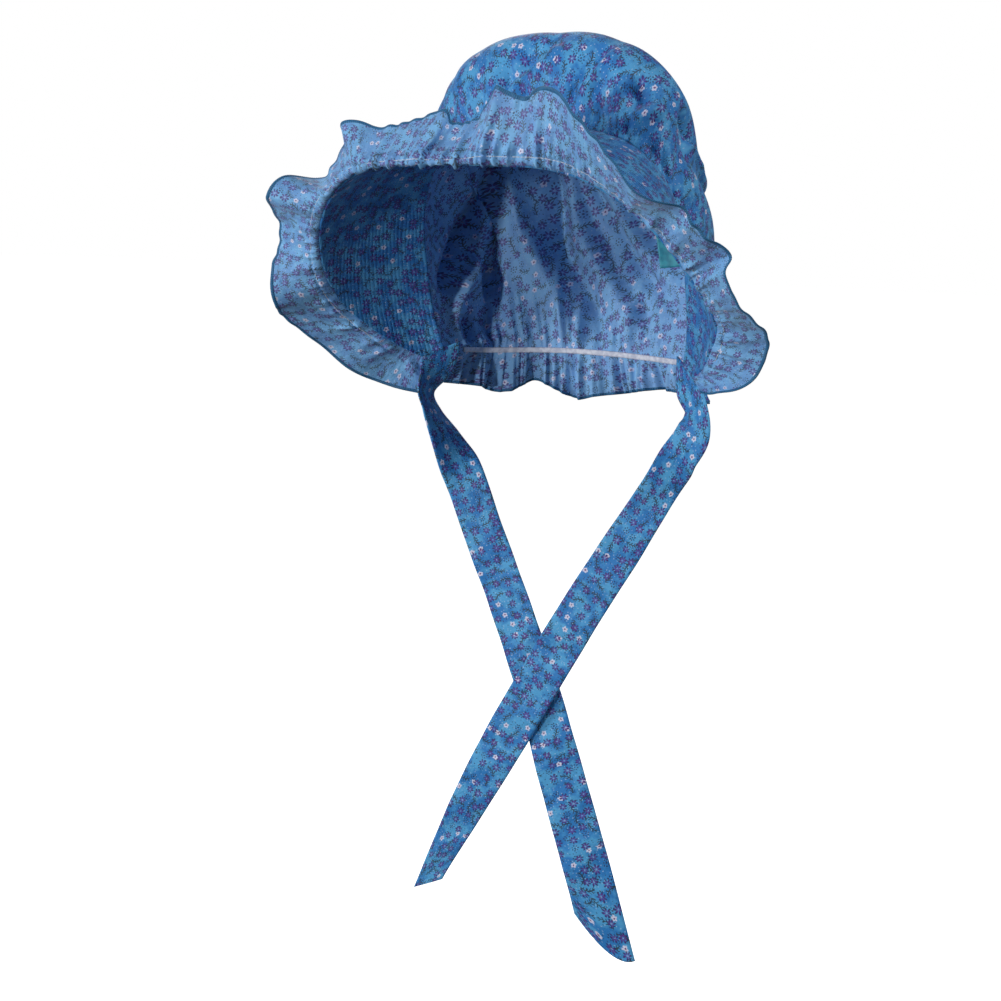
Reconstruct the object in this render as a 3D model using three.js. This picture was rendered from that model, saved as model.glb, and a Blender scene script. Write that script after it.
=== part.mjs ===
// A child's sunbonnet of printed cotton, in millimetres, +Z up, the face towards -Y.
// The origin is the head seat, the point inside the cap that rests on the top of the head.
import * as THREE from "three";
import { mergeVertices } from "three/addons/utils/BufferGeometryUtils.js";

// Clearance between two pieces that are sewn together
const SEAM_GAP = 0.5;

// Seam arch between brim and crown: a squared arch whose plane leans forward at the top
const ARCH_HALF_WIDTH = 95;
const ARCH_HEIGHT = 94;
const ARCH_SQUARENESS = 0.68;
const ARCH_SWEEP = THREE.MathUtils.degToRad(114);
const ARCH_LEAN = THREE.MathUtils.degToRad(15);
const HEAD_SEAT = new THREE.Vector3(0, 0, 88);

// Brim: position along the arch (0 top, 1 lower corner), depth, flare in degrees from straight ahead
const BRIM_THICKNESS = 3;
const BRIM_BOW = 4;
const BRIM_FULL_BOW_DEPTH = 60;
const BRIM_ROWS = [
  { at: 0.0, depth: 92, flare: -1 },
  { at: 0.2, depth: 90, flare: 0 },
  { at: 0.4, depth: 85, flare: 8 },
  { at: 0.6, depth: 75, flare: 24 },
  { at: 0.8, depth: 57, flare: 42 },
  { at: 0.9, depth: 37, flare: 44 },
  { at: 1.0, depth: 13, flare: 50 },
];

// Ruffle: one row for each fold, with its position along the brim (-1 left corner, 1 right corner),
// its turn in degrees from straight ahead (90 stands square to the brim), reach and slide along the edge.
// The lead is how far the cloth runs on straight before it turns, and it grows where the fold is sharp,
// from a turn in radians and over a span of turn
const RUFFLE_THICKNESS = 1.2;
const RUFFLE_LEAD = 1.2;
const RUFFLE_LEAD_FOLDED = 5;
const RUFFLE_FOLDED_FROM = 1.4;
const RUFFLE_FOLDED_SPAN = 1.2;
const RUFFLE_PLEATS = 40;
const RUFFLE_PLEAT_HEIGHT = 1.0;
const RUFFLE_ROWS = [
  { at: -1.0, turn: 70, reach: 20, slide: -13 },
  { at: -0.97, turn: 68, reach: 26, slide: -15 },
  { at: -0.94, turn: 62, reach: 34, slide: -9 },
  { at: -0.9, turn: 60, reach: 39, slide: -1 },
  { at: -0.82, turn: 55, reach: 42, slide: 1 },
  { at: -0.76, turn: 48, reach: 39, slide: -2 },
  { at: -0.71, turn: 60, reach: 37, slide: -4 },
  { at: -0.66, turn: 83, reach: 37, slide: -2 },
  { at: -0.62, turn: 99, reach: 37, slide: -4 },
  { at: -0.57, turn: 102, reach: 37, slide: -2 },
  { at: -0.54, turn: 88, reach: 36, slide: -1 },
  { at: -0.515, turn: 72, reach: 37, slide: 2 },
  { at: -0.48, turn: 96, reach: 38, slide: 0 },
  { at: -0.44, turn: 138, reach: 37, slide: -11 },
  { at: -0.4, turn: 143, reach: 36, slide: -10 },
  { at: -0.36, turn: 138, reach: 37, slide: -3 },
  { at: -0.335, turn: 118, reach: 37, slide: 2 },
  { at: -0.305, turn: 142, reach: 37, slide: 4 },
  { at: -0.26, turn: 146, reach: 37, slide: 3 },
  { at: -0.22, turn: 146, reach: 38, slide: 2 },
  { at: -0.17, turn: 142, reach: 39, slide: 6 },
  { at: -0.11, turn: 135, reach: 40, slide: 8 },
  { at: -0.07, turn: 146, reach: 38, slide: 1 },
  { at: -0.01, turn: 147, reach: 37, slide: -1 },
  { at: 0.035, turn: 142, reach: 37, slide: -1 },
  { at: 0.07, turn: 120, reach: 36, slide: 2 },
  { at: 0.1, turn: 102, reach: 44, slide: 6 },
  { at: 0.14, turn: 101, reach: 42, slide: 2 },
  { at: 0.21, turn: 100, reach: 38, slide: -4 },
  { at: 0.26, turn: 95, reach: 42, slide: -12 },
  { at: 0.31, turn: 84, reach: 42, slide: -17 },
  { at: 0.36, turn: 65, reach: 39, slide: -16 },
  { at: 0.415, turn: 50, reach: 39, slide: -13 },
  { at: 0.465, turn: 42, reach: 38, slide: -5 },
  { at: 0.49, turn: 44, reach: 38, slide: -4 },
  { at: 0.54, turn: 56, reach: 38, slide: -12 },
  { at: 0.58, turn: 55, reach: 37, slide: -14 },
  { at: 0.61, turn: 57, reach: 37, slide: -14 },
  { at: 0.64, turn: 68, reach: 37, slide: -14 },
  { at: 0.69, turn: 50, reach: 38, slide: -16 },
  { at: 0.73, turn: 50, reach: 38, slide: -11 },
  { at: 0.77, turn: 56, reach: 38, slide: -8 },
  { at: 0.82, turn: 73, reach: 38, slide: -3 },
  { at: 0.88, turn: 75, reach: 38, slide: 0 },
  { at: 0.93, turn: 66, reach: 37, slide: 0 },
  { at: 1.0, turn: 34, reach: 24, slide: -2 },
];

// Nape line where the elastic gathers the crown, measured from the lower corners of the arch
const NAPE_SIDE_GAP = 12;
const NAPE_BACK = 50;
const NAPE_WIDTH_SHARE = 0.97;
const NAPE_ROUNDNESS = 0.9;

// Crown: the curve from the seam over the puff to the nape, by position along the arch. It leaves the
// seam outwards (rise), backwards (back) and up along the seam (lift), and comes down to the nape from
// a handle given sideways, backwards and upwards. The puff slumps a little towards the left
const CROWN_THICKNESS = 1.4;
const CROWN_ROWS = [
  { at: 0, rise: 127, back: 20, lift: 0, napeOut: 0, napeBack: 62, napeUp: 183 },
  { at: 0.2, rise: 118, back: 20, lift: 12, napeOut: 24, napeBack: 54, napeUp: 175 },
  { at: 0.35, rise: 81, back: 27, lift: 34, napeOut: 33, napeBack: 32, napeUp: 150 },
  { at: 0.5, rise: 26, back: 22, lift: 62, napeOut: 15, napeBack: 25, napeUp: 114 },
  { at: 0.6, rise: 20, back: 27, lift: 27, napeOut: 20, napeBack: 24, napeUp: 90 },
  { at: 0.75, rise: 7, back: 22, lift: 12, napeOut: 9, napeBack: 13, napeUp: 50 },
  { at: 0.9, rise: 4, back: 11, lift: 4, napeOut: 5, napeBack: 6, napeUp: 18 },
  { at: 1.0, rise: 1, back: 3, lift: 0, napeOut: 1, napeBack: 2, napeUp: 2 },
];
const CROWN_SLUMP = 9;
const CROWN_GATHERS = 21;
const CROWN_GATHER_HEIGHT = 1.8;
const SEAM_GATHER_RISE = 0.08;
const SEAM_GATHER_REACH = 0.4;
const NAPE_GATHER_REACH = 0.3;
const NAPE_GATHER_PRESS = 0.35;
const CORNER_FADE = 0.08;

// Long folds that run from the seam down to the elastic: ends along seam and nape, width, and height
// over the top of the puff and down its rear, where the cloth passes from one to the other
const FOLD_TOP_END = 0.35;
const FOLD_REAR_START = 0.65;
const CROWN_FOLDS = [
  { seam: -0.66, nape: -0.7, width: 0.07, top: -2, rear: -4 },
  { seam: -0.4, nape: -0.54, width: 0.07, top: 5, rear: -5 },
  { seam: -0.12, nape: -0.3, width: 0.06, top: -2, rear: 4 },
  { seam: -0.04, nape: -0.06, width: 0.05, top: 2, rear: -4 },
  { seam: 0.08, nape: 0.12, width: 0.05, top: -1, rear: 4 },
  { seam: 0.18, nape: 0.26, width: 0.05, top: 2, rear: -4 },
  { seam: 0.32, nape: 0.42, width: 0.06, top: -2, rear: 4 },
  { seam: 0.54, nape: 0.6, width: 0.06, top: 1, rear: -2 },
];

// Neck frill below the elastic, the same cloth as the crown: its drop varies along the uneven hem
const FRILL_FLARE = 9;
const FRILL_WAVES = 9;
const FRILL_WAVE_HEIGHT = 4.5;
const FRILL_CORNER_FADE = 0.1;
const HEM_ROWS = [
  { at: -1, drop: 24 },
  { at: -0.8, drop: 26 },
  { at: -0.7, drop: 27 },
  { at: -0.58, drop: 31 },
  { at: -0.5, drop: 29 },
  { at: -0.42, drop: 25 },
  { at: -0.35, drop: 22 },
  { at: -0.28, drop: 25 },
  { at: -0.15, drop: 33 },
  { at: -0.05, drop: 30 },
  { at: 0.05, drop: 27 },
  { at: 0.2, drop: 23 },
  { at: 0.3, drop: 21 },
  { at: 0.45, drop: 22 },
  { at: 0.6, drop: 24 },
  { at: 1.0, drop: 24 },
];

// Elastic inside the nape
const ELASTIC_HEIGHT = 3.5;
const ELASTIC_THICKNESS = 1;
const ELASTIC_REACH = 0.93;

// Ties: drop below the brim's lower end, across towards the middle, forward,
// heading of the width in degrees from the X axis, width. The end is cut on a slant, and its point
// is how far the edge towards +X goes past the middle line, over the last of that many parts of the tie.
// The left end is rounded as well, by how far its middle goes past the slant
const TIE_THICKNESS = 1.4;
const LEFT_TIE_END = { point: 20, round: 11 };
const RIGHT_TIE_END = { point: -8, round: 0 };
const TIE_SEAT_SHARE = 0.05;
const TIE_SEWN_DROP = 12;
const TIE_SLANT_PARTS = 8;
const LEFT_TIE_ROWS = [
  { drop: 0, across: 0, forward: 0, heading: 40, width: 25 },
  { drop: 14, across: -5, forward: 0, heading: 63, width: 24 },
  { drop: 28, across: -10, forward: 3, heading: 96, width: 22 },
  { drop: 40, across: -3, forward: 5, heading: 97, width: 23 },
  { drop: 54, across: 9, forward: 8, heading: 75, width: 26 },
  { drop: 81, across: 28, forward: 11, heading: 24, width: 27 },
  { drop: 116, across: 43, forward: 9, heading: 14, width: 28 },
  { drop: 161, across: 62, forward: 5, heading: 10, width: 29 },
  { drop: 216, across: 84, forward: 1, heading: 10, width: 30 },
  { drop: 273, across: 103, forward: -2, heading: 20, width: 31 },
  { drop: 336, across: 124, forward: -6, heading: 28, width: 31 },
  { drop: 379, across: 138, forward: -8, heading: 30, width: 31 },
];
const RIGHT_TIE_ROWS = [
  { drop: 0, across: 0, forward: 0, heading: 32, width: 25 },
  { drop: 12, across: -4, forward: 2, heading: 26, width: 24 },
  { drop: 24, across: -11, forward: 5, heading: 32, width: 24 },
  { drop: 38, across: -11, forward: 6, heading: 17, width: 26 },
  { drop: 53, across: -1, forward: 2, heading: 19, width: 26 },
  { drop: 76, across: 17, forward: -9, heading: -12, width: 24 },
  { drop: 117, across: 40, forward: -4, heading: -12, width: 27 },
  { drop: 157, across: 63, forward: 0, heading: -10, width: 28 },
  { drop: 203, across: 88, forward: 4, heading: -10, width: 29 },
  { drop: 255, across: 115, forward: 9, heading: -10, width: 29 },
  { drop: 305, across: 140, forward: 13, heading: -16, width: 24 },
  { drop: 342, across: 157, forward: 16, heading: -20, width: 18 },
  { drop: 363, across: 166, forward: 18, heading: -20, width: 15 },
];

// Folded label in the seam, inside on the right
const LABEL_LENGTH = 22;
const LABEL_REACH = 14;
const LABEL_THICKNESS = 1;
const LABEL_AT = 0.645;
const LABEL_TIP_FORWARD = 0.2;
const LABEL_BELOW_SEAM = 2.4;

const BLUE = new THREE.Color(0x3f7fb8);
const PALE_BLUE = new THREE.Color(0x6e9cc8);
const CORD_WHITE = new THREE.Color(0xd9dde2);
const TEAL = new THREE.Color(0x2f9fb0);

function cloth(color) {
  return new THREE.MeshStandardMaterial({ color, roughness: 0.85, metalness: 0, side: THREE.DoubleSide });
}

// Value of one column of a table at a position, on a smooth curve through its rows
function read(rows, column, at) {
  const last = rows.length - 1;
  if (at <= rows[0].at) return rows[0][column];
  if (at >= rows[last].at) return rows[last][column];
  let i = 0;
  while (rows[i + 1].at < at) i += 1;
  const before = rows[Math.max(i - 1, 0)];
  const a = rows[i];
  const b = rows[i + 1];
  const after = rows[Math.min(i + 2, last)];
  const span = b.at - a.at;
  const t = (at - a.at) / span;
  const leave = ((b[column] - before[column]) / (b.at - before.at)) * span;
  const arrive = ((after[column] - a[column]) / (after.at - a.at)) * span;
  const hermite = new THREE.Vector4(
    2 * t ** 3 - 3 * t ** 2 + 1,
    t ** 3 - 2 * t ** 2 + t,
    -2 * t ** 3 + 3 * t ** 2,
    t ** 3 - t ** 2,
  );
  return hermite.dot(new THREE.Vector4(a[column], leave, b[column], arrive));
}

// A table given for one half is mirrored about the middle
function mirrored(rows) {
  const otherHalf = rows.slice(1).reverse().map((row) => ({ ...row, at: -row.at }));
  return [...otherHalf, ...rows];
}

const BRIM_TABLE = mirrored(BRIM_ROWS);
const CROWN_TABLE = mirrored(CROWN_ROWS);

// Arch in its own plane, as evenly spaced points, so that a position is a share of the seam's length
function archCurve() {
  const power = (value, exponent) => Math.sign(value) * Math.abs(value) ** exponent;
  const steps = 240;
  const points = [];
  for (let i = 0; i <= steps; i += 1) {
    const angle = ARCH_SWEEP * ((2 * i) / steps - 1);
    const x = ARCH_HALF_WIDTH * power(Math.sin(angle), ARCH_SQUARENESS);
    const z = ARCH_HEIGHT * power(Math.cos(angle), ARCH_SQUARENESS);
    points.push(new THREE.Vector2(x, z));
  }
  const lengths = [0];
  for (let i = 1; i <= steps; i += 1) {
    lengths.push(lengths[i - 1] + points[i].distanceTo(points[i - 1]));
  }
  return { points, lengths, total: lengths[steps] };
}

const ARCH = archCurve();

function archPoint(at) {
  const want = THREE.MathUtils.clamp((at + 1) / 2, 0, 1) * ARCH.total;
  let i = 0;
  while (i < ARCH.points.length - 2 && ARCH.lengths[i + 1] < want) i += 1;
  const t = (want - ARCH.lengths[i]) / (ARCH.lengths[i + 1] - ARCH.lengths[i]);
  return ARCH.points[i].clone().lerp(ARCH.points[i + 1], t);
}

// Directions at a place on the arch: along the seam, outwards and backwards, leaned with its plane
function archFrame(at) {
  const step = 0.02;
  const along2 = archPoint(at + step).sub(archPoint(at - step)).normalize();
  const lean = (x, y, z) => new THREE.Vector3(x, y, z).applyAxisAngle(new THREE.Vector3(1, 0, 0), ARCH_LEAN);
  const point = archPoint(at);
  return {
    point: lean(point.x, 0, point.y).sub(HEAD_SEAT),
    along: lean(along2.x, 0, along2.y),
    out: lean(-along2.y, 0, along2.x),
    back: lean(0, 1, 0),
  };
}

// Brim cloth: 0 at the seam, 1 at the front edge
function brimDirection(at) {
  const frame = archFrame(at);
  const flare = THREE.MathUtils.degToRad(read(BRIM_TABLE, "flare", at));
  const { out, back } = frame;
  const ahead = out.clone().multiplyScalar(Math.sin(flare)).addScaledVector(back, -Math.cos(flare));
  const normal = out.clone().multiplyScalar(Math.cos(flare)).addScaledVector(back, Math.sin(flare));
  return { frame, ahead, normal, depth: read(BRIM_TABLE, "depth", at) };
}

function brimPoint(at, reach) {
  const { frame, ahead, normal, depth } = brimDirection(at);
  const bow = BRIM_BOW * Math.sin(Math.PI * reach) * Math.min(1, depth / BRIM_FULL_BOW_DEPTH);
  return frame.point.clone().addScaledVector(ahead, depth * reach).addScaledVector(normal, bow);
}

// Ruffle cloth: 0 at the brim's edge, 1 at its own free edge
function rufflePoint(at, reach) {
  const { frame, ahead, normal, depth } = brimDirection(at);
  const start = frame.point.clone().addScaledVector(ahead, depth + SEAM_GAP);
  const turn = THREE.MathUtils.degToRad(read(RUFFLE_ROWS, "turn", at));
  const length = read(RUFFLE_ROWS, "reach", at);
  const lie = frame.out.clone().multiplyScalar(Math.sin(turn)).addScaledVector(frame.back, -Math.cos(turn));
  const folded = THREE.MathUtils.clamp((turn - RUFFLE_FOLDED_FROM) / RUFFLE_FOLDED_SPAN, 0, 1);
  const lead = RUFFLE_LEAD + RUFFLE_LEAD_FOLDED * folded;
  const eased = lead * (1 - Math.exp((-2 * length * reach) / lead));
  const flute = Math.sin(Math.PI * RUFFLE_PLEATS * at) * Math.sin(Math.PI * reach ** 0.5);
  return start
    .addScaledVector(ahead, eased)
    .addScaledVector(lie, length * reach - eased / 2)
    .addScaledVector(normal, RUFFLE_PLEAT_HEIGHT * flute)
    .addScaledVector(frame.along, read(RUFFLE_ROWS, "slide", at) * reach);
}

// Nape line: a half oval behind the arch's lower corners
function napeFrame(at) {
  const corner = archFrame(1).point;
  const turn = (at * Math.PI) / 2;
  const x = corner.x * NAPE_WIDTH_SHARE * Math.sign(at) * Math.abs(Math.sin(turn)) ** NAPE_ROUNDNESS;
  const y = corner.y + NAPE_SIDE_GAP + NAPE_BACK * Math.cos(turn) ** NAPE_ROUNDNESS;
  const out = new THREE.Vector3(Math.sin(turn), Math.cos(turn), 0);
  return { point: new THREE.Vector3(x, y, corner.z + 1), out };
}

// Crown cloth on its smooth bag: 0 at the seam, 1 at the nape
function crownBag(at, down) {
  const { point, along, out, back } = archFrame(at);
  const side = Math.sign(at);
  const column = (name) => read(CROWN_TABLE, name, at);
  const seamHandle = out
    .clone()
    .multiplyScalar(column("rise"))
    .addScaledVector(back, column("back"))
    .addScaledVector(along, -side * column("lift"));
  const upright = column("rise") / Math.hypot(column("rise"), column("back"));
  const start = point.clone().addScaledVector(back, SEAM_GAP + (CROWN_THICKNESS / 2) * upright);
  const nape = napeFrame(at).point;
  const napeHandle = new THREE.Vector3(side * column("napeOut"), column("napeBack"), column("napeUp"));
  const bag = new THREE.CubicBezierCurve3(
    start,
    start.clone().add(seamHandle),
    nape.clone().add(napeHandle),
    nape,
  );
  const slump = CROWN_SLUMP * Math.sin(Math.PI * down) * (1 - at * at);
  return bag.getPoint(down).add(new THREE.Vector3(-slump, 0, 0));
}

// Ripples of the gathers at both ends and the long folds between them
function crownRelief(at, down) {
  const gather = 0.5 + 0.5 * Math.cos(2 * Math.PI * CROWN_GATHERS * at);
  const nearSeam = Math.min(down / SEAM_GATHER_RISE, 1) * Math.max(0, 1 - down / SEAM_GATHER_REACH);
  const nearNape = Math.max(0, 1 - (1 - down) / NAPE_GATHER_REACH) * (1 - NAPE_GATHER_PRESS * down);
  let relief = CROWN_GATHER_HEIGHT * gather * (nearSeam + nearNape);
  for (const fold of CROWN_FOLDS) {
    const middle = THREE.MathUtils.lerp(fold.seam, fold.nape, down);
    const swell = Math.sin(Math.PI * Math.min(Math.max(down, 0), 1));
    const rear = THREE.MathUtils.smoothstep(down, FOLD_TOP_END, FOLD_REAR_START);
    const height = THREE.MathUtils.lerp(fold.top, fold.rear, rear);
    relief += height * swell * Math.exp(-(((at - middle) / fold.width) ** 2));
  }
  return relief * Math.min(1, (1 - Math.abs(at)) / CORNER_FADE);
}

function crownPoint(at, down) {
  if (down > 1) return frillPoint(at, down - 1);
  const step = 0.004;
  const a = Math.min(Math.max(at, -1 + step), 1 - step);
  const d = Math.min(Math.max(down, step), 1 - step);
  const alongSeam = crownBag(a + step, d).sub(crownBag(a - step, d));
  const alongFall = crownBag(a, d + step).sub(crownBag(a, d - step));
  const normal = alongSeam.cross(alongFall).normalize();
  return crownBag(at, down).addScaledVector(normal, crownRelief(at, down));
}

// Frill: 0 at the elastic, 1 at its free edge
function frillPoint(at, fall) {
  const { point, out } = napeFrame(at);
  const wave = Math.sin(FRILL_WAVES * Math.PI * at) * Math.min(1, (1 - Math.abs(at)) / FRILL_CORNER_FADE);
  const start = crownPoint(at, 1);
  const swing = FRILL_FLARE * fall + FRILL_WAVE_HEIGHT * wave * fall;
  const hem = read(HEM_ROWS, "drop", at);
  return start.addScaledVector(out, swing).setZ(point.z - hem * fall);
}

// A closed wall of cloth: a fine slab whose columns, layers and rows are carried onto the surface.
// firstWall and lastWall set which way the wall's thickness runs at a sewn edge
function clothWall(surface, thickness, columns, rows, options = {}) {
  const { rowAt = (share) => share, firstWall, lastWall } = options;
  const slab = new THREE.BoxGeometry(2, 1, 1, columns, 1, rows);
  const place = slab.attributes.position;
  const step = 0.003;
  for (let i = 0; i < place.count; i += 1) {
    const at = place.getX(i);
    const layer = place.getY(i);
    const down = rowAt(place.getZ(i) + 0.5);
    const point = surface(at, down);
    const a = Math.min(Math.max(at, -1 + step), 1 - step);
    const low = Math.max(down - step, 0);
    const along = surface(a + step, down).sub(surface(a - step, down));
    const across = surface(at, down + step).sub(surface(at, low));
    let normal = along.cross(across).normalize();
    const sewn = (down === rowAt(0) && firstWall) || (down === rowAt(1) && lastWall);
    if (sewn) {
      const edge = sewn(at);
      normal = edge.multiplyScalar(Math.sign(edge.dot(normal)) || 1);
    }
    point.addScaledVector(normal, layer * thickness);
    place.setXYZ(i, point.x, point.y, point.z);
  }
  return closed(slab);
}

// Only positions, shared corners joined, faces turned outwards
function closed(geometry) {
  geometry.deleteAttribute("normal");
  geometry.deleteAttribute("uv");
  geometry.clearGroups();
  const body = mergeVertices(geometry, 1e-4);
  const place = body.attributes.position;
  const index = body.index;
  const corner = (i) => new THREE.Vector3().fromBufferAttribute(place, index.getX(i));
  let volume = 0;
  for (let i = 0; i < index.count; i += 3) {
    volume += corner(i).dot(corner(i + 1).cross(corner(i + 2)));
  }
  for (let i = 0; volume < 0 && i < index.count; i += 3) {
    const first = index.getX(i);
    index.setX(i, index.getX(i + 1));
    index.setX(i + 1, first);
  }
  body.computeVertexNormals();
  return body;
}

function brim() {
  const firstWall = (at) => archFrame(at).out;
  const lastWall = (at) => brimDirection(at).normal;
  return clothWall(brimPoint, BRIM_THICKNESS, 56, 6, { firstWall, lastWall });
}

function ruffle() {
  const firstWall = (at) => brimDirection(at).normal;
  return clothWall(rufflePoint, RUFFLE_THICKNESS, 120, 5, { rowAt: (share) => share ** 1.8, firstWall });
}

function crown() {
  const bagRows = 14;
  const frillRows = 3;
  const rowAt = (share) => {
    const row = share * (bagRows + frillRows);
    return row <= bagRows ? row / bagRows : 1 + (row - bagRows) / frillRows;
  };
  const firstWall = (at) => {
    const { along } = archFrame(at);
    return along.cross(crownBag(at, 0.01).sub(crownBag(at, 0))).normalize();
  };
  return clothWall(crownPoint, CROWN_THICKNESS, 80, bagRows + frillRows, { rowAt, firstWall });
}

// The elastic lies against the inner crests of the gathers
function elastic() {
  const inward = CROWN_THICKNESS / 2 + SEAM_GAP + ELASTIC_THICKNESS / 2;
  const band = (at, fall) => {
    const { point, out } = napeFrame(at * ELASTIC_REACH);
    return point.clone().addScaledVector(out, -inward).setZ(point.z + ELASTIC_HEIGHT * (0.5 - fall));
  };
  return clothWall(band, ELASTIC_THICKNESS, 36, 1);
}

// A tie hangs from the brim's lower end; its rows give the middle line and how the width is turned
function tie(rows, side, { point, round }) {
  const seat = brimDirection(side);
  const down = seat.frame.along.clone().multiplyScalar(side);
  const top = brimPoint(side, TIE_SEAT_SHARE).addScaledVector(down, SEAM_GAP);
  const table = rows.map((row) => ({ ...row, at: row.drop }));
  const end = rows[rows.length - 1].drop;
  const middle = (drop) => new THREE.Vector3(
    top.x - side * read(table, "across", drop),
    top.y - read(table, "forward", drop),
    top.z - drop,
  );
  const strap = (across, share) => {
    const drop = end * share;
    const step = 2;
    const along = middle(Math.min(drop + step, end)).sub(middle(Math.max(drop - step, 0))).normalize();
    const heading = THREE.MathUtils.degToRad(read(table, "heading", drop));
    const width = new THREE.Vector3(Math.cos(heading), -side * Math.sin(heading), 0);
    const sewn = Math.max(0, 1 - drop / TIE_SEWN_DROP);
    width.lerp(seat.ahead.clone().multiplyScalar(side), sewn);
    width.addScaledVector(along, -width.dot(along) * (1 - sewn)).normalize();
    const cut = across * point + (1 - across * across) * round;
    const slant = cut * Math.max(0, 1 - (1 - share) * TIE_SLANT_PARTS);
    return middle(drop)
      .addScaledVector(width, (across * read(table, "width", drop)) / 2)
      .addScaledVector(along, slant);
  };
  const firstWall = () => seat.normal.clone();
  return clothWall(strap, TIE_THICKNESS, 2, 44, { firstWall });
}

// Folded tab, its cut edges in the seam
function label() {
  const { point, along, out, back } = archFrame(LABEL_AT);
  const lie = out.clone().multiplyScalar(-1).addScaledVector(back, -LABEL_TIP_FORWARD).normalize();
  const root = point.clone().addScaledVector(out, -LABEL_BELOW_SEAM);
  const leaf = (at, reach) => root
    .clone()
    .addScaledVector(along, (at * LABEL_LENGTH) / 2)
    .addScaledVector(lie, reach * LABEL_REACH);
  return clothWall(leaf, LABEL_THICKNESS, 4, 3);
}

const bonnet = new THREE.Group();

function add(name, geometry, color) {
  const piece = new THREE.Mesh(geometry, cloth(color));
  piece.name = name;
  bonnet.add(piece);
}

add("brim", brim(), BLUE);
add("brim_ruffle", ruffle(), PALE_BLUE);
add("crown", crown(), BLUE);
add("neck_elastic", elastic(), CORD_WHITE);
add("tie_left", tie(LEFT_TIE_ROWS, -1, LEFT_TIE_END), BLUE);
add("tie_right", tie(RIGHT_TIE_ROWS, 1, RIGHT_TIE_END), BLUE);
add("label_tab", label(), TEAL);

export default bonnet;
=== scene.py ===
import math

import bmesh
import bpy
import numpy as np
from mathutils import Matrix, Vector


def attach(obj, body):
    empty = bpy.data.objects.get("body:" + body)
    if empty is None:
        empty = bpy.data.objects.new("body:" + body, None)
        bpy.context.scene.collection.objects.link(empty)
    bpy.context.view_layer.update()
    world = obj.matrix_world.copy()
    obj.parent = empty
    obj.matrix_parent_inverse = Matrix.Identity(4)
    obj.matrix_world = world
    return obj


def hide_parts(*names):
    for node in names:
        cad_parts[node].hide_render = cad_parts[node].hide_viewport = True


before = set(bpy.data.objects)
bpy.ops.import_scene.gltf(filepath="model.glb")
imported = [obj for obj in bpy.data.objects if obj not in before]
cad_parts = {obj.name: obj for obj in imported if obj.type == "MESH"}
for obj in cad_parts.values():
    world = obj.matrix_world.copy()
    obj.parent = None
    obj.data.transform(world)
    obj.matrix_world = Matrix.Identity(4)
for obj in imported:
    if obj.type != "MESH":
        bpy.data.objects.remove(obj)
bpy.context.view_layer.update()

# A child's sunbonnet of printed cotton. Sizes are in millimetres, and the meshes are made in metres.
MM = 0.001
chance = np.random.default_rng(11)

# Seam arch between brim and crown: a squared arch that leans forward at the top
ARCH_HALF_WIDTH = 95
ARCH_HEIGHT = 94
ARCH_SQUARENESS = 0.68
ARCH_SWEEP = math.radians(114)
ARCH_LEAN = math.radians(15)
HEAD_SEAT_HEIGHT = 88
SEAM_GAP = 0.5

# Brim: stiff double cloth in narrow stitched rows. Flare is in degrees from straight ahead
BRIM_THICKNESS = 2.5
BRIM_BOW = 4
BRIM_FULL_BOW_DEPTH = 60
BRIM_COLUMNS = ("at", "depth", "flare")
BRIM_HALF = [
    (0.0, 92, -1),
    (0.2, 90, 0),
    (0.4, 85, 8),
    (0.6, 75, 24),
    (0.8, 57, 42),
    (0.9, 37, 44),
    (1.0, 13, 50),
]

# Ruffle: turn is in degrees from straight ahead, and 90 stands square to the brim. Where the ruffle folds
# back by more than FOLDED_FROM, its cloth leads straight ahead for longer. Both folded angles are in radians
RUFFLE_THICKNESS = 0.5
RUFFLE_LEAD = 1.2
RUFFLE_LEAD_FOLDED = 5
RUFFLE_FOLDED_FROM = 1.4
RUFFLE_FOLDED_SPAN = 1.2
HEADING_DEPTH = 6
HEADING_FAN = 2.2
THREAD_PRESS = 0.3
THREAD_PRESS_REACH = 0.05
FLUTTER_HEIGHT = 0.5
RUFFLE_COLUMNS = ("at", "turn", "reach", "slide")
RUFFLE_ROWS = [
    (-1.0, 74, 12, -22),
    (-0.97, 68, 26, -15),
    (-0.94, 62, 34, -9),
    (-0.9, 60, 39, -1),
    (-0.82, 55, 42, 1),
    (-0.76, 48, 39, -2),
    (-0.71, 60, 37, -4),
    (-0.66, 83, 37, -2),
    (-0.62, 99, 37, -4),
    (-0.57, 102, 37, -2),
    (-0.54, 88, 36, -1),
    (-0.515, 72, 37, 2),
    (-0.48, 96, 38, 0),
    (-0.44, 138, 37, -11),
    (-0.4, 143, 36, -10),
    (-0.36, 138, 37, -3),
    (-0.335, 118, 37, 2),
    (-0.305, 142, 37, 4),
    (-0.26, 146, 37, 3),
    (-0.22, 146, 38, 2),
    (-0.17, 142, 39, 6),
    (-0.11, 135, 40, 8),
    (-0.07, 146, 38, 1),
    (-0.01, 147, 37, -1),
    (0.035, 142, 37, -1),
    (0.07, 120, 36, 2),
    (0.1, 102, 44, 6),
    (0.14, 101, 42, 2),
    (0.21, 100, 38, -4),
    (0.26, 95, 42, -12),
    (0.31, 84, 42, -17),
    (0.36, 65, 39, -16),
    (0.415, 50, 39, -13),
    (0.465, 42, 38, -5),
    (0.49, 44, 38, -4),
    (0.54, 56, 38, -12),
    (0.58, 55, 37, -14),
    (0.61, 57, 37, -14),
    (0.64, 68, 37, -14),
    (0.69, 50, 38, -16),
    (0.73, 50, 38, -11),
    (0.77, 56, 38, -8),
    (0.82, 73, 38, -3),
    (0.88, 75, 38, 0),
    (0.93, 66, 37, 0),
    (1.0, 34, 24, -2),
]

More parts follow.
